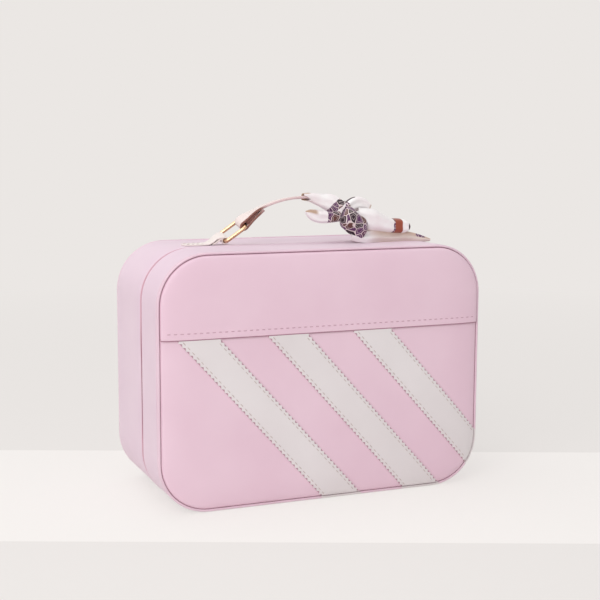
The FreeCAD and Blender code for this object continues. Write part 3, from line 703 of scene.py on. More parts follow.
def build_yoke():
    """Overlay over the top of the front, cut straight along its hem."""
    piece = overlay_sheet("yoke_panel", YOKE_LIFT, YOKE_LIFT, HEM, None)
    soften(piece, 0.45 * MM, segments=3)
    recalculate_normals(piece)
    shade(piece, 45)
    finish_piece(piece, "lid", PINK, ["yoke_panel"])
    pitch, half, level = 5.07 * MM, 1.45 * MM, HEM + 4.8 * MM
    row = [((step * pitch - half, level), (step * pitch + half, level)) for step in range(-26, 27)]
    row = [pair for pair in row if min(depth_inside(*place) for place in pair) > 1.5 * MM]
    stitches = copies("yoke_stitches", pattern_stitch(2 * half, 0.7 * MM), stitch_row(row, YOKE_LIFT))
    finish_piece(stitches, "lid", STITCH)


def pinked_cutter(middle, inset, notch):
    """Slanted prism with pinked long edges, for one stripe whose middle crosses the hem at a place."""
    teeth, pitch, depth = 100, 4.2 * MM, 40 * MM
    deselect_all()
    bpy.ops.mesh.primitive_plane_add(size=1)
    piece = name_active("cutter")
    piece.scale = (teeth * pitch, STRIPE_WIDTH - 2 * inset, 1)
    apply_place()
    edit(piece)
    pick("EDGE", lambda edge: edge.calc_length() > 0.1)
    bpy.ops.mesh.subdivide(number_cuts=19)
    pick("EDGE", lambda edge: abs(edge.verts[0].co.y - edge.verts[1].co.y) < MM)
    bpy.ops.mesh.subdivide(number_cuts=teeth // 10 - 1)
    leave_edit()

    def pink(x, y, z):
        phase = round((x + teeth * pitch / 2) / (pitch / 2)) % 2
        return x, y - math.copysign(notch * phase, y), z

    move_points(piece, pink)
    edit(piece)
    select_all()
    extrude(0, 0, depth)
    select_all()
    bpy.ops.mesh.normals_make_consistent(inside=False)
    leave_edit()
    run = Vector((STRIPE_RUN.x, 0, STRIPE_RUN.y))
    side = Vector((STRIPE_SIDE.x, 0, STRIPE_SIDE.y))
    place = Matrix((run, side, run.cross(side))).transposed().to_4x4()
    place.translation = Vector((middle, -depth, HEM))
    piece.data.transform(place)
    return piece


def cut_stripe(name, sheet, middle, inset, notch):
    """The part of a sheet inside one stripe's edges."""
    piece = sheet.copy()
    piece.data = sheet.data.copy()
    piece.name = piece.data.name = dressed(name)
    scene.collection.objects.link(piece)
    cutter = pinked_cutter(middle, inset, notch)
    apply_modifier(piece, "BOOLEAN", operation="INTERSECT", object=cutter, solver="EXACT")
    remove(cutter)
    recalculate_normals(piece)
    shade(piece, 35)
    return piece


def stripe_stitches(name, middle):
    """Two rows of stitches along a stripe, inside its pinked edges."""
    pitch, half = 5.3 * MM, 1.6 * MM
    pairs = []
    for edge in (-1, 1):
        sideways = STRIPE_SIDE * (edge * (STRIPE_WIDTH / 2 - 3.0 * MM))
        for step in range(-2, 45):
            centre = Vector((middle, HEM)) + STRIPE_RUN * (step * pitch) + sideways
            pair = (centre - STRIPE_RUN * half, centre + STRIPE_RUN * half)
            under_hem = max(place.y for place in pair) < HEM - 0.6 * MM
            if under_hem and min(depth_inside(*place) for place in pair) > 4 * MM:
                pairs.append(pair)
    return copies(name, pattern_stitch(2 * half, 0.6 * MM), stitch_row(pairs, STRIPE_LIFT))


def build_stripes():
    """Three slanted overlays cut from one crowned sheet, over a darker sheet that shows in their notches as
    painted shade.
    """
    top = HEM - 0.2 * MM
    sheet = overlay_sheet("stripe_sheet", STRIPE_LIFT, 1.1 * MM, None, top)
    notch_shade_sheet = overlay_sheet("notch_shade_sheet", 0.4 * MM, 0.45 * MM, None, top)
    for place, name in enumerate(("stripe_left", "stripe_middle", "stripe_right")):
        middle = STRIPE_MIDDLE + (place - 1) * STRIPE_PITCH
        piece = cut_stripe(name, sheet, middle, 0.0, 1.7 * MM)
        finish_piece(piece, "lid", CREAM, [name])
        # Darker sheet under each stripe, seen only in its notches: painted shade.
        notch_shade_piece = cut_stripe(name + "_notch_shade_piece", notch_shade_sheet, middle, 0.35 * MM, 0.0)
        finish_piece(notch_shade_piece, "lid", NOTCH_SHADE)
        stitches = stripe_stitches(name + "_stitches", middle)
        finish_piece(stitches, "lid", CREAM_STITCH)
    remove(sheet)
    remove(notch_shade_sheet)
    # Dark strip just under the yoke's hem: painted shadow of the hem's edge.
    hem_shadow_strip = overlay_sheet("hem_seam", 1.12 * MM, 0.6 * MM, HEM - 0.65 * MM, HEM + 1.5 * MM)
    shade(hem_shadow_strip, 35)
    finish_piece(hem_shadow_strip, "lid", SEAM_SHADOW)


# Rims, gussets and zip
def rim_profile(facing):
    """Section of a rolled rim, in millimetres."""
    face, back = 60 * facing, 57 * facing
    steps = ((0, -0.3), (0.12, 0.25), (0.45, 0.75), (0.95, 0.95), (1.45, 0.85), (1.8, 0.5), (1.9, 0.0))
    return [(0, back)] + [(inset, face + facing * lead) for inset, lead in steps] + [(1.9, back)]


def build_rims():
    for name, facing, body, material in (("front_welt", -1, "lid", RIM), ("back_welt", 1, "case_body", PINK)):
        rim = swept_wall(name, rim_profile(facing))
        shade(rim, 50)
        finish_piece(rim, body, material, [name])
        # Seam strip at the bottom of the groove between panel and rim, coloured dark as painted shadow of the
        # groove.
        line = 59.7 * facing
        groove_shadow = swept_wall(name + "_seam", [(1.85, line), (2.15, line + 0.15 * facing), (2.5, line),
                                           (2.5, line - 1.5 * facing), (1.85, line - 1.5 * facing)])
        shade(groove_shadow, 60)
        finish_piece(groove_shadow, body, SEAM_SHADOW)


def settle(x, y, z):
    """Slack of a soft case: the left wall bows out and the top sinks a little behind the zip."""
    bow = hump(20 * MM, 100 * MM, 100 * MM, 190 * MM, z) * smooth_step(-100 * MM, -136 * MM, x)
    sag = smooth_step(196 * MM, 203 * MM, z) * hump(0.0, 30 * MM, 50 * MM, 60.5 * MM, y)
    sag *= 1 - smooth_step(70 * MM, 125 * MM, abs(x))
    return x - 0.4 * MM * bow, y, z - 2.0 * MM * sag


def part_lips(x, y, z):
    """Hold the rolled lips of the zip apart where the sliders run, and let them gape a little on the left."""
    away = y - ZIP
    near = 1 - smooth_step(6.0 * MM, 9.0 * MM, abs(away))
    run = smooth_step(120 * MM, 134 * MM, x) * hump(34 * MM, 50 * MM, 156 * MM, 172 * MM, z)
    gape = smooth_step(-120 * MM, -134 * MM, x) * hump(50 * MM, 75 * MM, 110 * MM, 135 * MM, z)
    shift = (2.4 * run + 0.5 * gape) * near * MM
    flatten = 0.35 * MM * run * near
    return settle(min(x, HALF_WIDTH - flatten) if x > 120 * MM else x, y + math.copysign(shift, away), z)


def build_gussets():
    """The two halves' walls, each with a rolled lip along the zip."""
    lip = [(0, 8.6), (0.3, 7.4), (0.05, 6.6), (-0.3, 5.2), (-0.35, 4.0), (0.0, 2.7), (0.8, 1.8), (2.0, 1.4),
           (3.2, 1.6), (3.5, 3.0)]
    middle = ZIP / MM
    for name, facing, body in (("lid_gusset", -1, "lid"), ("body_gusset", 1, "case_body")):
        back = 57.2 * facing
        outside = [(0, step) for step in (30, 22, 15, 11) if abs(back - middle) > step + 4]
        profile = [(inset, middle + facing * step) for inset, step in outside + lip]
        wall = swept_wall(name, [(0, back)] + profile + [(3.5, back)])
        move_points(wall, part_lips)
        recalculate_normals(wall)
        shade(wall, 50)
        finish_piece(wall, body, LILAC, [name])


def path_frames(inset, pitch, offset=0.0):
    """Places and directions at even steps along the case's outline, moved in by an inset."""
    points = [Vector((x, 0, z)) for x, z in outline_points(inset)]
    frames, carried = [], offset
    for first, second in zip(points, points[1:] + points[:1]):
        run = second - first
        while carried < run.length:
            frames.append((first + run.normalized() * carried, run.normalized()))
            carried += pitch
        carried -= run.length
    return frames


def pattern_tooth():
    """One tooth of the zip, with its edges cut off."""
    piece = add_box("tooth", (0.9 * MM, 2.4 * MM, 1.0 * MM))
    edit(piece)
    select_all()
    bpy.ops.mesh.bevel(offset=0.3 * MM, segments=1)
    leave_edit()
    return piece


def cut_base(piece):
    """Take the part of a wall along the base out, between the zip's ends."""
    cutter = add_box("cutter", (2 * ZIP_END, 200 * MM, 30 * MM))
    apply_modifier(piece, "BOOLEAN", operation="DIFFERENCE", object=cutter, solver="EXACT")
    remove(cutter)
    recalculate_normals(piece)


def build_zip():
    """Two rows of teeth and two tapes, a little apart where the sliders run."""
    pitch, half = 2.0 * MM, 1.0 * MM
    inside = Vector((0, 0, HEIGHT / 2))
    for name, facing, body, offset in (("lid", -1, "lid", 0.0), ("body", 1, "case_body", half)):
        places = []
        for place, run in path_frames(2.8 * MM, pitch, offset):
            if place.z < 10 * MM and abs(place.x) < ZIP_END:
                continue
            open_run = place.x > 130 * MM and 38 * MM < place.z < 168 * MM
            away = 2.05 * MM if open_run else 0.75 * MM
            outward = Vector((run.z, 0, -run.x))
            if outward.dot(place - inside) < 0:
                outward = -outward
            start = place + Vector((0, ZIP + facing * away, 0)) - run * half
            places.append(along(start, start + run * pitch, outward))
        coil = copies("zip_coil_" + name, pattern_tooth(), places)
        finish_piece(coil, body, COIL, ["zip_coil_" + name])
        near, far = ZIP / MM + facing * 0.85, ZIP / MM + facing * 14
        tape = swept_wall("zip_tape_" + name, [(3.5, near), (3.5, far), (4.1, far), (4.1, near)])
        cut_base(tape)
        shade(tape, 40)
        finish_piece(tape, body, TAPE, ["zip_tape_" + name])


def build_hinge():
    """Flexible strip along the base between the zip's ends."""
    low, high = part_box("hinge_strip")
    piece = add_grid("hinge_strip", 40, 16, (high[0] - low[0], high[1] - low[1]),
                     (0, (low[1] + high[1]) / 2, (low[2] + high[2]) / 2))
    apply_modifier(piece, "SOLIDIFY", thickness=0.8 * MM, offset=0)
    recalculate_normals(piece)
    shade(piece, 40)
    coat(piece, TAPE)
    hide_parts("hinge_strip")
    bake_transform(piece)


# Inside of the case
def build_lining(name, floor, rim, body):
    """Lining drawn over the walls and the floor of one half, from its open rim inwards."""
    piece = add_outline(name, 4.25 * MM, rim, 1 if rim > floor else -1, cuts=30)
    for share in (0.05, 0.25, 0.3, 0.3, 0.1):
        extrude(0, (floor - rim) * share, 0)
    for step in (1.5 * MM, 30 * MM):
        bpy.ops.mesh.inset(thickness=step, depth=0)
    pick("FACE", lambda face: all(abs(vertex.co.y - rim) < 0.01 * MM for vertex in face.verts))
    bpy.ops.mesh.delete(type="ONLY_FACE")
    leave_edit()
    recalculate_normals(piece)
    apply_modifier(piece, "SOLIDIFY", thickness=0.7 * MM, offset=0)
    soften(piece, 0.3 * MM)
    shade(piece, 40)
    finish_piece(piece, body, LINING, [name])


def build_divider(name):
    """Padded divider: a thin cushion, fullest in its middle."""
    low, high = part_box(name)
    middle = (Vector(low) + Vector(high)) / 2
    half = (Vector(high) - Vector(low)) / 2
    thin = 0 if half.x < half.z else 2
    deselect_all()
    bpy.ops.mesh.primitive_cube_add(size=2)
    piece = name_active(name)
    edit(piece)
    select_all()
    bpy.ops.mesh.subdivide(number_cuts=11)
    leave_edit()

    def pad(*place):
        place = list(place)
        flat = [place[axis] for axis in range(3) if axis != thin]
        fullness = (1 - abs(flat[0]) ** 4) * (1 - abs(flat[1]) ** 4)
        place[thin] *= 0.62 + 0.38 * fullness
        return middle + Vector([place[axis] * (half[axis] - 0.1 * MM) for axis in range(3)])

    move_points(piece, pad)
    soften(piece, 1.0 * MM)
    apply_modifier(piece, "SUBSURF", levels=1, render_levels=1)
    shade(piece, 60)
    finish_piece(piece, "case_body", PILE, [name])


def build_pocket():
    """Net pocket on the lid's lining, with folds under its hem."""
    low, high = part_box("net_pocket")
    net = add_grid("net_pocket", 60, 30, (high[0] - low[0], high[2] - low[2]),
                   (0, low[1] + 0.5 * MM, (low[2] + high[2]) / 2), turn=(math.pi / 2, 0, 0))

    def belly(x, y, z):
        up = (z - low[2]) / (high[2] - low[2])
        across = x / high[0]
        fullness = (1 - across ** 4) * math.sin(math.pi * min(up * 0.85 + 0.1, 1.0))
        folds = math.sin(x * 520) * 0.35 * MM * smooth_step(0.6, 1.0, up)
        return x, y + 2.2 * MM * fullness + folds, z

    move_points(net, belly)
    apply_modifier(net, "SOLIDIFY", thickness=0.3 * MM, offset=0)
    shade(net, 60)
    finish_piece(net, "lid", NET, ["net_pocket"])


def build_pocket_hem():
    """Gathered elastic hem of the net pocket."""
    low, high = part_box("pocket_elastic")
    hem = add_box("pocket_elastic", (high[0] - low[0], 1.5 * MM, high[2] - low[2]),
                  (0, low[1] + 1.2 * MM, (low[2] + high[2]) / 2))
    edit(hem)
    pick("EDGE", lambda edge: edge.calc_length() > 0.1)
    bpy.ops.mesh.subdivide(number_cuts=150)
    pick("EDGE", lambda edge: abs(edge.verts[0].co.z - edge.verts[1].co.z) > 5 * MM)
    bpy.ops.mesh.subdivide(number_cuts=4)
    leave_edit()
    soften(hem, 0.5 * MM)
    move_points(hem, lambda x, y, z: (x, y + 0.35 * MM * math.sin(x * 1500 + 60 * z), z))
    shade(hem, 60)
    finish_piece(hem, "lid", ELASTIC, ["pocket_elastic"])


# Handle
AXIS_HEIGHT = 209.3 * MM
LEAN = math.radians(14)
UPPER_BAR = Vector((-50.53, 12.04)) * MM
TURN_RADIUS = 3.1 * MM
STRAP_RISE = 33.5 * MM
STRAP_HALF = 7 * MM
DROP = STRAP_RISE - UPPER_BAR.y
ARCH_RADIUS = (UPPER_BAR.x ** 2 + DROP ** 2 - TURN_RADIUS ** 2) / (2 * (DROP - TURN_RADIUS))
ARCH_CENTRE = Vector((0, STRAP_RISE - ARCH_RADIUS))
ARCH_ANGLE = math.atan2(-UPPER_BAR.x, UPPER_BAR.y - ARCH_CENTRE.y)


def lean(x, y, z, angle=LEAN, tilt=None):
    """Turn a place of the upright handle forwards about its axis; its width may turn by another tilt."""
    up = z - AXIS_HEIGHT
    tilt = angle if tilt is None else tilt
    back = y * math.cos(tilt) - up * math.sin(angle)
    return x, back, AXIS_HEIGHT + y * math.sin(tilt) + up * math.cos(angle)


def strap_tilt(x):
    """Turn of the strap's width: with the rings at its ends, the other way between them."""
    return LEAN + math.radians(-19) * (1 - smooth_step(40 * MM, 52 * MM, abs(x)))


def lean_strap(x, y, z):
    return lean(x, y, z, LEAN, strap_tilt(x))


def on_arch(radius, angle):
    return ARCH_CENTRE + Vector((-math.sin(angle), math.cos(angle))) * radius


def on_bar(angle):
    return UPPER_BAR + Vector((math.cos(angle), math.sin(angle))) * TURN_RADIUS


def strap_path():
    """The strap's middle line: flap, turn round the left bar, arch, turn round the right bar, flap."""
    flap_steps, turn_steps, arch_steps = 5, 16, 44
    flap_end = on_arch(ARCH_RADIUS - 2.5 * MM, ARCH_ANGLE - math.radians(14))
    away = flap_end - UPPER_BAR
    leave = math.atan2(away.y, away.x) - math.acos(TURN_RADIUS / away.length)
    turned = ARCH_ANGLE + math.pi / 2 - leave - 2 * math.pi
    left = [flap_end.lerp(on_bar(leave), step / flap_steps) for step in range(flap_steps)]
    left += [on_bar(leave + turned * step / turn_steps) for step in range(turn_steps + 1)]
    arch = [on_arch(ARCH_RADIUS, ARCH_ANGLE * (1 - 2 * step / arch_steps)) for step in range(1, arch_steps)]
    right = [Vector((-point.x, point.y)) for point in reversed(left)]
    return [(point.x, point.y + AXIS_HEIGHT) for point in left + arch + right]


def rounded_profile(half_thick, half_wide):
    """Leather strap's section, with softly rounded edges."""
    quarter = [(half_thick, half_wide - 0.9 * MM), (half_thick * 0.92, half_wide - 0.45 * MM),
               (half_thick * 0.65, half_wide - 0.12 * MM), (half_thick * 0.25, half_wide)]
    upper = quarter + [(-thick, wide) for thick, wide in reversed(quarter)]
    return upper + [(-thick, -wide) for thick, wide in upper]


def build_strap():
    """Leather strap with painted edges, turned round both rings' upper bars."""
    strap = sweep("handle_strap", strap_path(), rounded_profile(1.15 * MM, STRAP_HALF), closed_path=False)
    edge = STRAP_HALF - 0.5 * MM
    sides = [abs(vertex.co.y) for vertex in strap.data.vertices]
    paint_points(strap, "edge_share", [smooth_step(edge - 0.2 * MM, edge + 0.2 * MM, side) for side in sides])
    move_points(strap, lean_strap)
    recalculate_normals(strap)
    shade(strap, 45)
    finish_piece(strap, "handle", STRAP, ["handle_strap"])


def build_shaded_fold_wedge(side, name):
    """Dark wedge that fills the gap between the strap and its turned end; its dark brown is painted shade of
    the gap inside the fold.
    """
    inner = [on_arch(ARCH_RADIUS - 1.3 * MM, ARCH_ANGLE - math.radians(angle)) for angle in (11, 6, 2)]
    under = [UPPER_BAR + Vector((2.2, 0.9)) * MM, UPPER_BAR + Vector((4.4, 0.6)) * MM]
    outline = [(-side * point.x, point.y + AXIS_HEIGHT) for point in inner + under]
    half = STRAP_HALF - 0.7 * MM
    deselect_all()
    bpy.ops.mesh.primitive_circle_add(vertices=len(outline), radius=1, fill_type="NGON")
    shade_wedge = name_active(name)
    for vertex, (x, z) in zip(shade_wedge.data.vertices, outline):
        vertex.co = (x, -half, z)
    edit(shade_wedge)
    select_all()
    extrude(0, 2 * half, 0)
    leave_edit()
    recalculate_normals(shade_wedge)
    soften(shade_wedge, 0.4 * MM, degrees=30)
    move_points(shade_wedge, lean_strap)
    shade(shade_wedge, 40)
    finish_piece(shade_wedge, "handle", FOLD_SHADE)


def build_tab(side, name):
    """Sewn tab that rises to the ring's bar, wraps round it and comes back under itself."""
    bar = Vector((-66.5, 209.3))
    angles = [math.radians(105 - 15 * step) for step in range(22)]
    turn = [tuple(bar + Vector((math.cos(angle), math.sin(angle))) * 2.55) for angle in angles]
    rise = [(-100.2, 205.1), (-92, 205.1), (-86, 205.15), (-80, 205.5), (-76.5, 206.9), (-73.5, 209.4),
            (-70, 211.4)]
    back = [(-71.5, 208.9), (-74, 206.5), (-77, 205.0)]
    path = [(-side * x * MM, z * MM) for x, z in rise + turn + back]
    tab = sweep(name, path, rounded_profile(0.62 * MM, STRAP_HALF), closed_path=False)

    def twist(x, y, z):
        if abs(x) > 90 * MM and z > 204.4 * MM:
            y *= 1 - 0.18 * ((abs(x) - 90 * MM) / (10.2 * MM)) ** 4
        share = 1 - smooth_step(68 * MM, 75 * MM, abs(x))
        if abs(x) > 77 * MM:
            z -= 0.35 * MM
        return lean(x, y, z, LEAN * share)

    move_points(tab, twist)
    recalculate_normals(tab)
    shade(tab, 45)
    coat(tab, TAB)
    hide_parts(name, name + "_loop")
    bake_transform(tab)
    half, level, up = Vector((1.3 * MM, 0, 0)), 205.45 * MM, Vector((0, 0, 1))
    places = []
    for row in (-5.4, 5.4):
        for step in range(4):
            middle = Vector((side * (97.5 - 4 * step) * MM, row * MM, level))
            places.append(along(middle - half, middle + half, up))
    stitches = copies(name + "_stitches", pattern_stitch(2.6 * MM, 0.6 * MM), places)
    finish_piece(stitches, "case_body", CREAM_STITCH)


# Scarf
LEAST_ROLL = 0.05


def between(values, share):
    """Smooth value along a list of stations."""
    last = len(values) - 1
    place = min(max(share, 0.0), 1.0) * last
    step = min(int(place), last - 1)
    part = place - step
    before, first, second, after = (values[min(max(step + shift, 0), last)] for shift in (-1, 0, 1, 2))
    slope = (second - before) * part
    bend = (2 * before - 5 * first + 4 * second - after) * part ** 2
    twist = (3 * first - before - 3 * second + after) * part ** 3
    return 0.5 * (2 * first + slope + bend + twist)


def folded_across(side):
    """Place across a ribbon and layer of a point of silk that is folded in three along its length."""
    turn = min((side + 1) * 1.5, 2.9999)
    layer = int(turn)
    part = turn - layer
    depth = layer - 1.0
    if layer < 2:
        depth += 0.5 * smooth_step(0.84, 1.0, part)
    if layer > 0:
        depth -= 0.5 * (1 - smooth_step(0.0, 0.16, part))
    return (2 * part - 1) * (1 if layer % 2 == 0 else -1), depth * 0.75 * MM


def ribbon(name, spine, half_widths, rolls, across, pleats, zone, rows=44, cut=0.0, blunt=1.0):
    """A length of folded silk along a spine: each row is rolled into an arc, with soft pleats.

    The end can be cut back on its lower front, and rounded from a share of the length on.
    """
    deselect_all()
    bpy.ops.mesh.primitive_grid_add(x_subdivisions=rows, y_subdivisions=42, size=2, calc_uvs=True)
    piece = name_active(name)
    points = [Vector(point) * MM for point in spine]
    zones = []
    for vertex in piece.data.vertices:
        share = (vertex.co.x + 1) / 2
        side, layer_depth = folded_across(vertex.co.y)
        half, roll = between(half_widths, share) * MM, between(rolls, share)
        if share > blunt:
            half *= math.sqrt(max(1 - ((share - blunt) / (1 - blunt)) ** 2, 0.004))
        angle = side * max(roll, LEAST_ROLL)
        zones.append(zone(share, side))
        share -= cut * smooth_step(0.2, 1.0, math.cos(angle + 0.8)) * smooth_step(0.55, 1.0, share)
        centre = between(points, share)
        run = (between(points, share + 0.02) - between(points, share - 0.02)).normalized()
        breadth = (Vector(across) - run * run.dot(Vector(across))).normalized()
        face = run.cross(breadth)
        radius = half / LEAST_ROLL
        if roll > LEAST_ROLL:
            radius = half / max(math.sin(min(roll, math.pi / 2)), LEAST_ROLL)
        wave = math.cos(pleats * math.pi * side + 0.9 * math.sin(3 * share))
        fold = 0.55 * MM * wave * min(half / (4 * MM), 1.3)
        vertex.co = (centre + breadth * radius * math.sin(angle)
                     + face * (radius * (1 - math.cos(angle)) + fold + layer_depth))
    share_names = ("print_share", "rust_share", "reverse_and_shade_share", "hem_and_shade_share")
    for share_name, shares in zip(share_names, zip(*zones)):
        paint_points(piece, share_name, shares)
    piece.data.update()
    return piece


def loop_zone(share, side):
    """Shares of print, rust, tan reverse side with painted shade, and dark hem on the upper loop; likewise
    for the other lengths.
    """
    hem = smooth_step(0.8, 0.95, -side) * (1 - smooth_step(0.42, 0.52, share))
    return 1 - smooth_step(0.14, 0.22, share), 0.0, smooth_step(0.9, 1.0, share), hem


def ear_zone(share, side):
    # Inside of the ear's open end: tan and dark hem colour as painted shade.
    inside = smooth_step(0.42, 0.5, abs(side + 0.1)) * smooth_step(0.78, 0.86, share)
    return hump(0.04, 0.12, 0.17, 0.25, share + 0.05 * side), 0.0, inside, 0.42 * inside


def petal_zone(share, side):
    # Tan underside of the petal: reverse side and painted shade.
    under = smooth_step(0.05, 0.3, side) * smooth_step(0.45, 0.6, share)
    return 1 - smooth_step(0.18, 0.28, share), 0.0, under, 0.0


def tail_zone(share, side):
    printed = hump(0.6, 0.66, 0.64, 0.7, share)
    rust = hump(0.63, 0.69, 0.81, 0.87, share)
    # Tan along the tail's lower edge: reverse side and painted shade.
    under = smooth_step(0.55, 1.0, side) * (1 - smooth_step(0.5, 0.6, share))
    return printed, rust, under, smooth_step(0.935, 0.985, share)


def low_zone(share, side):
    printed = hump(0.77, 0.83, 0.88, 0.94, share) * smooth_step(0.0, 0.3, -side)
    # Tan over the low tail: reverse side and painted shade under the tail above it.
    under = (0.5 + 0.4 * smooth_step(-0.4, 0.8, -side)) * smooth_step(0.15, 0.4, share)
    return printed, 0.0, under, 0.0


def wrap_zone(_, side):
    return hump(0.0, 0.16, 0.46, 0.62, side), 0.0, 0.0, 0.0


def build_knot():
    """Barrel of tight folds where the scarf crosses itself, printed all over."""
    deselect_all()
    bpy.ops.mesh.primitive_uv_sphere_add(segments=48, ring_count=28, radius=1)
    piece = name_active("knot")
    middle, slant = Vector((41, -22.5, 220.4)) * MM, math.radians(-38)

    def tighten(x, y, z):
        angle = math.atan2(z, y)
        folds = 1 + 0.06 * math.sin(6 * angle + 3.2 * x) + 0.035 * math.sin(11 * angle - 5 * x)
        barrel = (1 - abs(x) ** 5) ** 0.3 if abs(x) < 1 else 0.0
        ring = math.hypot(y, z) or 1.0
        x, y, z = 12.5 * x, 8.0 * y / ring * barrel * folds, 10.5 * z / ring * barrel * folds
        return middle + Vector((x * math.cos(slant) - z * math.sin(slant) * 0.6, y,
                                x * math.sin(slant) + z * math.cos(slant))) * MM

    move_points(piece, tighten)
    paint_points(piece, "print_share", [1.0] * len(piece.data.vertices))
    return piece


def build_wrap():
    """Band of the scarf round the strap, behind the knot."""
    spine = []
    for step in range(13):
        angle = 2 * math.pi * step / 12 - math.pi / 2
        upright = Vector((39, 9.6 * math.sin(angle), 230.7 + 7.0 * math.cos(angle))) * MM
        spine.append(Vector(lean(*upright)) / MM)
    return ribbon("wrap", spine, [6.5] * 13, [0.25] * 13, (1, 0, -0.3), 3, wrap_zone, rows=60)


def build_scarf():
    """Silk lengths, wrap and knot; spines and half widths are in millimetres, rolls in radians."""
    ear = ribbon(
        "ear",
        [(32, -20, 231), (22.7, -17.5, 237.2), (14.8, -16.5, 239.8), (6.7, -16, 241.8), (-0.8, -16, 242.4)],
        half_widths=[6.8, 7.2, 5.2, 3.9, 3.0], rolls=[0.8, 1.1, 1.8, 2.6, 3.05],
        across=(0.25, 0, 1), pleats=2.5, zone=ear_zone, cut=0.2)
    petal = ribbon(
        "petal",
        [(29, -22, 226.5), (17.1, -21.5, 226), (9, -21, 227), (2.5, -20.5, 229.2), (-1.4, -20, 230.6)],
        half_widths=[4.2, 5.0, 5.0, 3.2, 0.6], rolls=[0.8, 1.2, 1.4, 1.4, 1.0],
        across=(0.3, 0, 1), pleats=2, zone=petal_zone)
    loop = ribbon(
        "loop",
        [(36, -19.5, 231), (42, -18, 234.6), (48, -17, 236), (54, -16.5, 235.2), (59, -17, 233.2)],
        half_widths=[4.6, 5.6, 6.0, 5.2, 2.2], rolls=[0.7, 0.9, 1.1, 1.3, 1.5],
        across=(0.2, 0, -1), pleats=2, zone=loop_zone)
    tail = ribbon(
        "tail",
        [(44, -24, 226), (57.6, -25, 222), (67.3, -24.5, 219.4), (76.6, -23.5, 217.2), (85, -22.5, 216.5),
         (94, -22, 216.1)],
        half_widths=[7.5, 10.0, 8.2, 6.4, 6.4, 6.0], rolls=[0.7, 0.9, 1.2, 1.5, 1.8, 1.8],
        across=(-0.3, 0, -1), pleats=2.5, zone=tail_zone, rows=80, blunt=0.86)
    low = ribbon(
        "low",
        [(38, -25, 211.8), (49.5, -25, 210), (62.5, -23, 210), (76.6, -21, 208.8), (90.8, -20, 208.6),
         (102.7, -20.5, 206.8), (113.5, -22, 204.6)],
        half_widths=[4.6, 5.4, 5.4, 5.4, 4.8, 3.6, 0.8], rolls=[0.5, 0.6, 0.7, 0.7, 0.7, 0.6, 0.4],
        across=(-0.1, -0.45, -0.85), pleats=2, zone=low_zone, rows=56)
    lengths = [ear, petal, loop, tail, low, build_wrap()]
    for piece in lengths:
        apply_modifier(piece, "SOLIDIFY", thickness=0.3 * MM, offset=0)
    scarf = join(lengths + [build_knot()], "scarf")
    recalculate_normals(scarf)
    shade(scarf, 70)
    finish_piece(scarf, "handle", SILK, ["scarf"])


# Stage
BACKDROP = "#EBE7E4"


def build_camera():
    camera_data = bpy.data.cameras.new("camera")
    camera_data.lens = 73.754
    camera_data.sensor_width = 36
    camera_data.clip_start = 0.01
    camera = bpy.data.objects.new("camera", camera_data)
    scene.collection.objects.link(camera)
    camera.location = (-0.39436, -0.94857, 0.29295)
    camera.rotation_euler = (math.radians(82.36), math.radians(-0.24), math.radians(-22.66))
    scene.camera = camera


def build_floor():
    """Plain floor with a paler strip that the case stands on; it keeps the case's shadow."""
    deselect_all()
    bpy.ops.mesh.primitive_plane_add(size=120, location=(0, 0, -0.3 * MM))
    floor = name_active("floor")
    apply_place()
    material, graph, shader = start_material("studio_floor")
    place = graph.place()
    away = graph.node("ShaderNodeVectorMath", {0: place, 1: (0.38526, 0.9228, 0.0)}, operation="DOT_PRODUCT")
    away = away.outputs["Value"]
    strip = graph.product(graph.band(away, -0.1663, -0.1653), graph.band(away, 0.0935, 0.0945, 1.0, 0.0))
    tone = graph.mix(strip, colour(BACKDROP), colour("#F5F1EE"))
    graph.feed(shader, {"Base Color": tone, "Roughness": 0.9, "Specular IOR Level": 0.1})
    glow = graph.node("ShaderNodeEmission", {"Color": tone, "Strength": 1.0})
    reach = graph.node("ShaderNodeVectorMath", {0: place}, operation="LENGTH").outputs["Value"]
    even = graph.product(graph.background_share(), graph.band(reach, 0.3, 1.4, 0.72, 1.0))
    blend = graph.node("ShaderNodeMixShader", {0: even, 1: shader.outputs[0], 2: glow.outputs[0]})
    graph.feed(material.node_tree.nodes["Material Output"], {0: blend.outputs[0]})
    coat(floor, material)


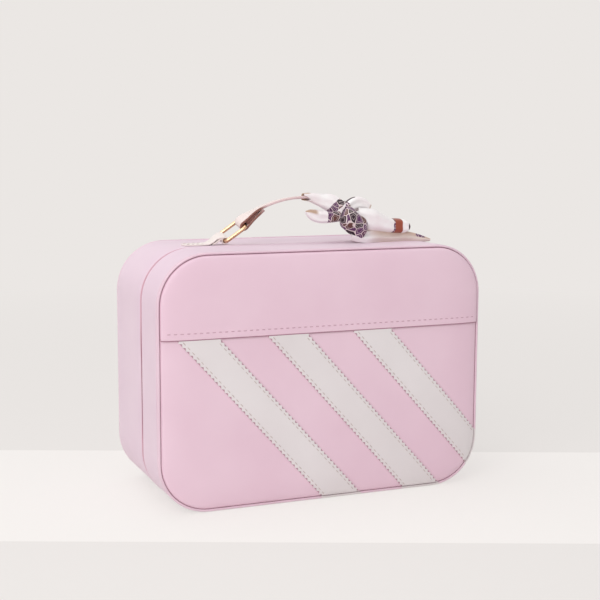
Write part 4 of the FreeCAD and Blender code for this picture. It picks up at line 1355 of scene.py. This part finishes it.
def build_world():
    """Soft light from all round, and a plain wall where the background shows."""
    world = bpy.data.worlds.new("studio")
    scene.world = world
    world.use_nodes = True
    graph = Graph(world.node_tree)
    ambient = world.node_tree.nodes["Background"]
    graph.feed(ambient, {"Color": (1.0, 0.995, 0.995, 1.0), "Strength": 0.5})
    wall = graph.node("ShaderNodeBackground", {"Color": colour(BACKDROP), "Strength": 1.0})
    shaders = {0: graph.background_share(), 1: ambient.outputs[0], 2: wall.outputs[0]}
    blend = graph.node("ShaderNodeMixShader", shaders)
    graph.feed(world.node_tree.nodes["World Output"], {0: blend.outputs[0]})


def build_lamps():
    for name, place, size, power in (("key", (-0.9, -0.95, 0.9), 0.9, 10.2),
                                     ("fill", (1.4, -2.0, 0.9), 2.2, 1.5),
                                     ("top", (-0.5, 0.3, 2.2), 1.8, 17)):
        lamp = bpy.data.lights.new(name, "AREA")
        lamp.size = size
        lamp.energy = power
        holder = bpy.data.objects.new(name, lamp)
        scene.collection.objects.link(holder)
        holder.location = place
        holder.rotation_euler = (Vector((0, 0, 0.1)) - Vector(place)).to_track_quat("-Z", "Y").to_euler()


def main():
    build_panel("front_panel", -1, FRONT_CROWN, "lid")
    build_panel("back_panel", 1, BACK_CROWN, "case_body")
    build_yoke()
    build_stripes()
    build_rims()
    build_gussets()
    build_zip()
    build_hinge()
    build_lining("lid_lining", -55.1 * MM, -21.0 * MM, "lid")
    build_lining("body_lining", 55.1 * MM, -9.0 * MM, "case_body")
    for name in ("long_divider", "upper_left_divider", "upper_right_divider", "lower_divider"):
        build_divider(name)
    build_pocket()
    build_pocket_hem()
    build_strap()
    for side, name in ((-1, "left"), (1, "right")):
        build_shaded_fold_wedge(side, name + "_fold_wedge_shade")
    for side, name in ((-1, "left"), (1, "right")):
        build_tab(side, name + "_tab")
    build_scarf()
    for name in ("left_ring", "right_ring", "upper_slider", "lower_slider", "upper_pull", "lower_pull"):
        coat(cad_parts[name], GOLD)
    for name in ("front_board", "back_board"):
        coat(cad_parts[name], BOARD)
    build_camera()
    build_floor()
    build_world()
    build_lamps()
    scene.view_settings.view_transform = "Standard"


main()
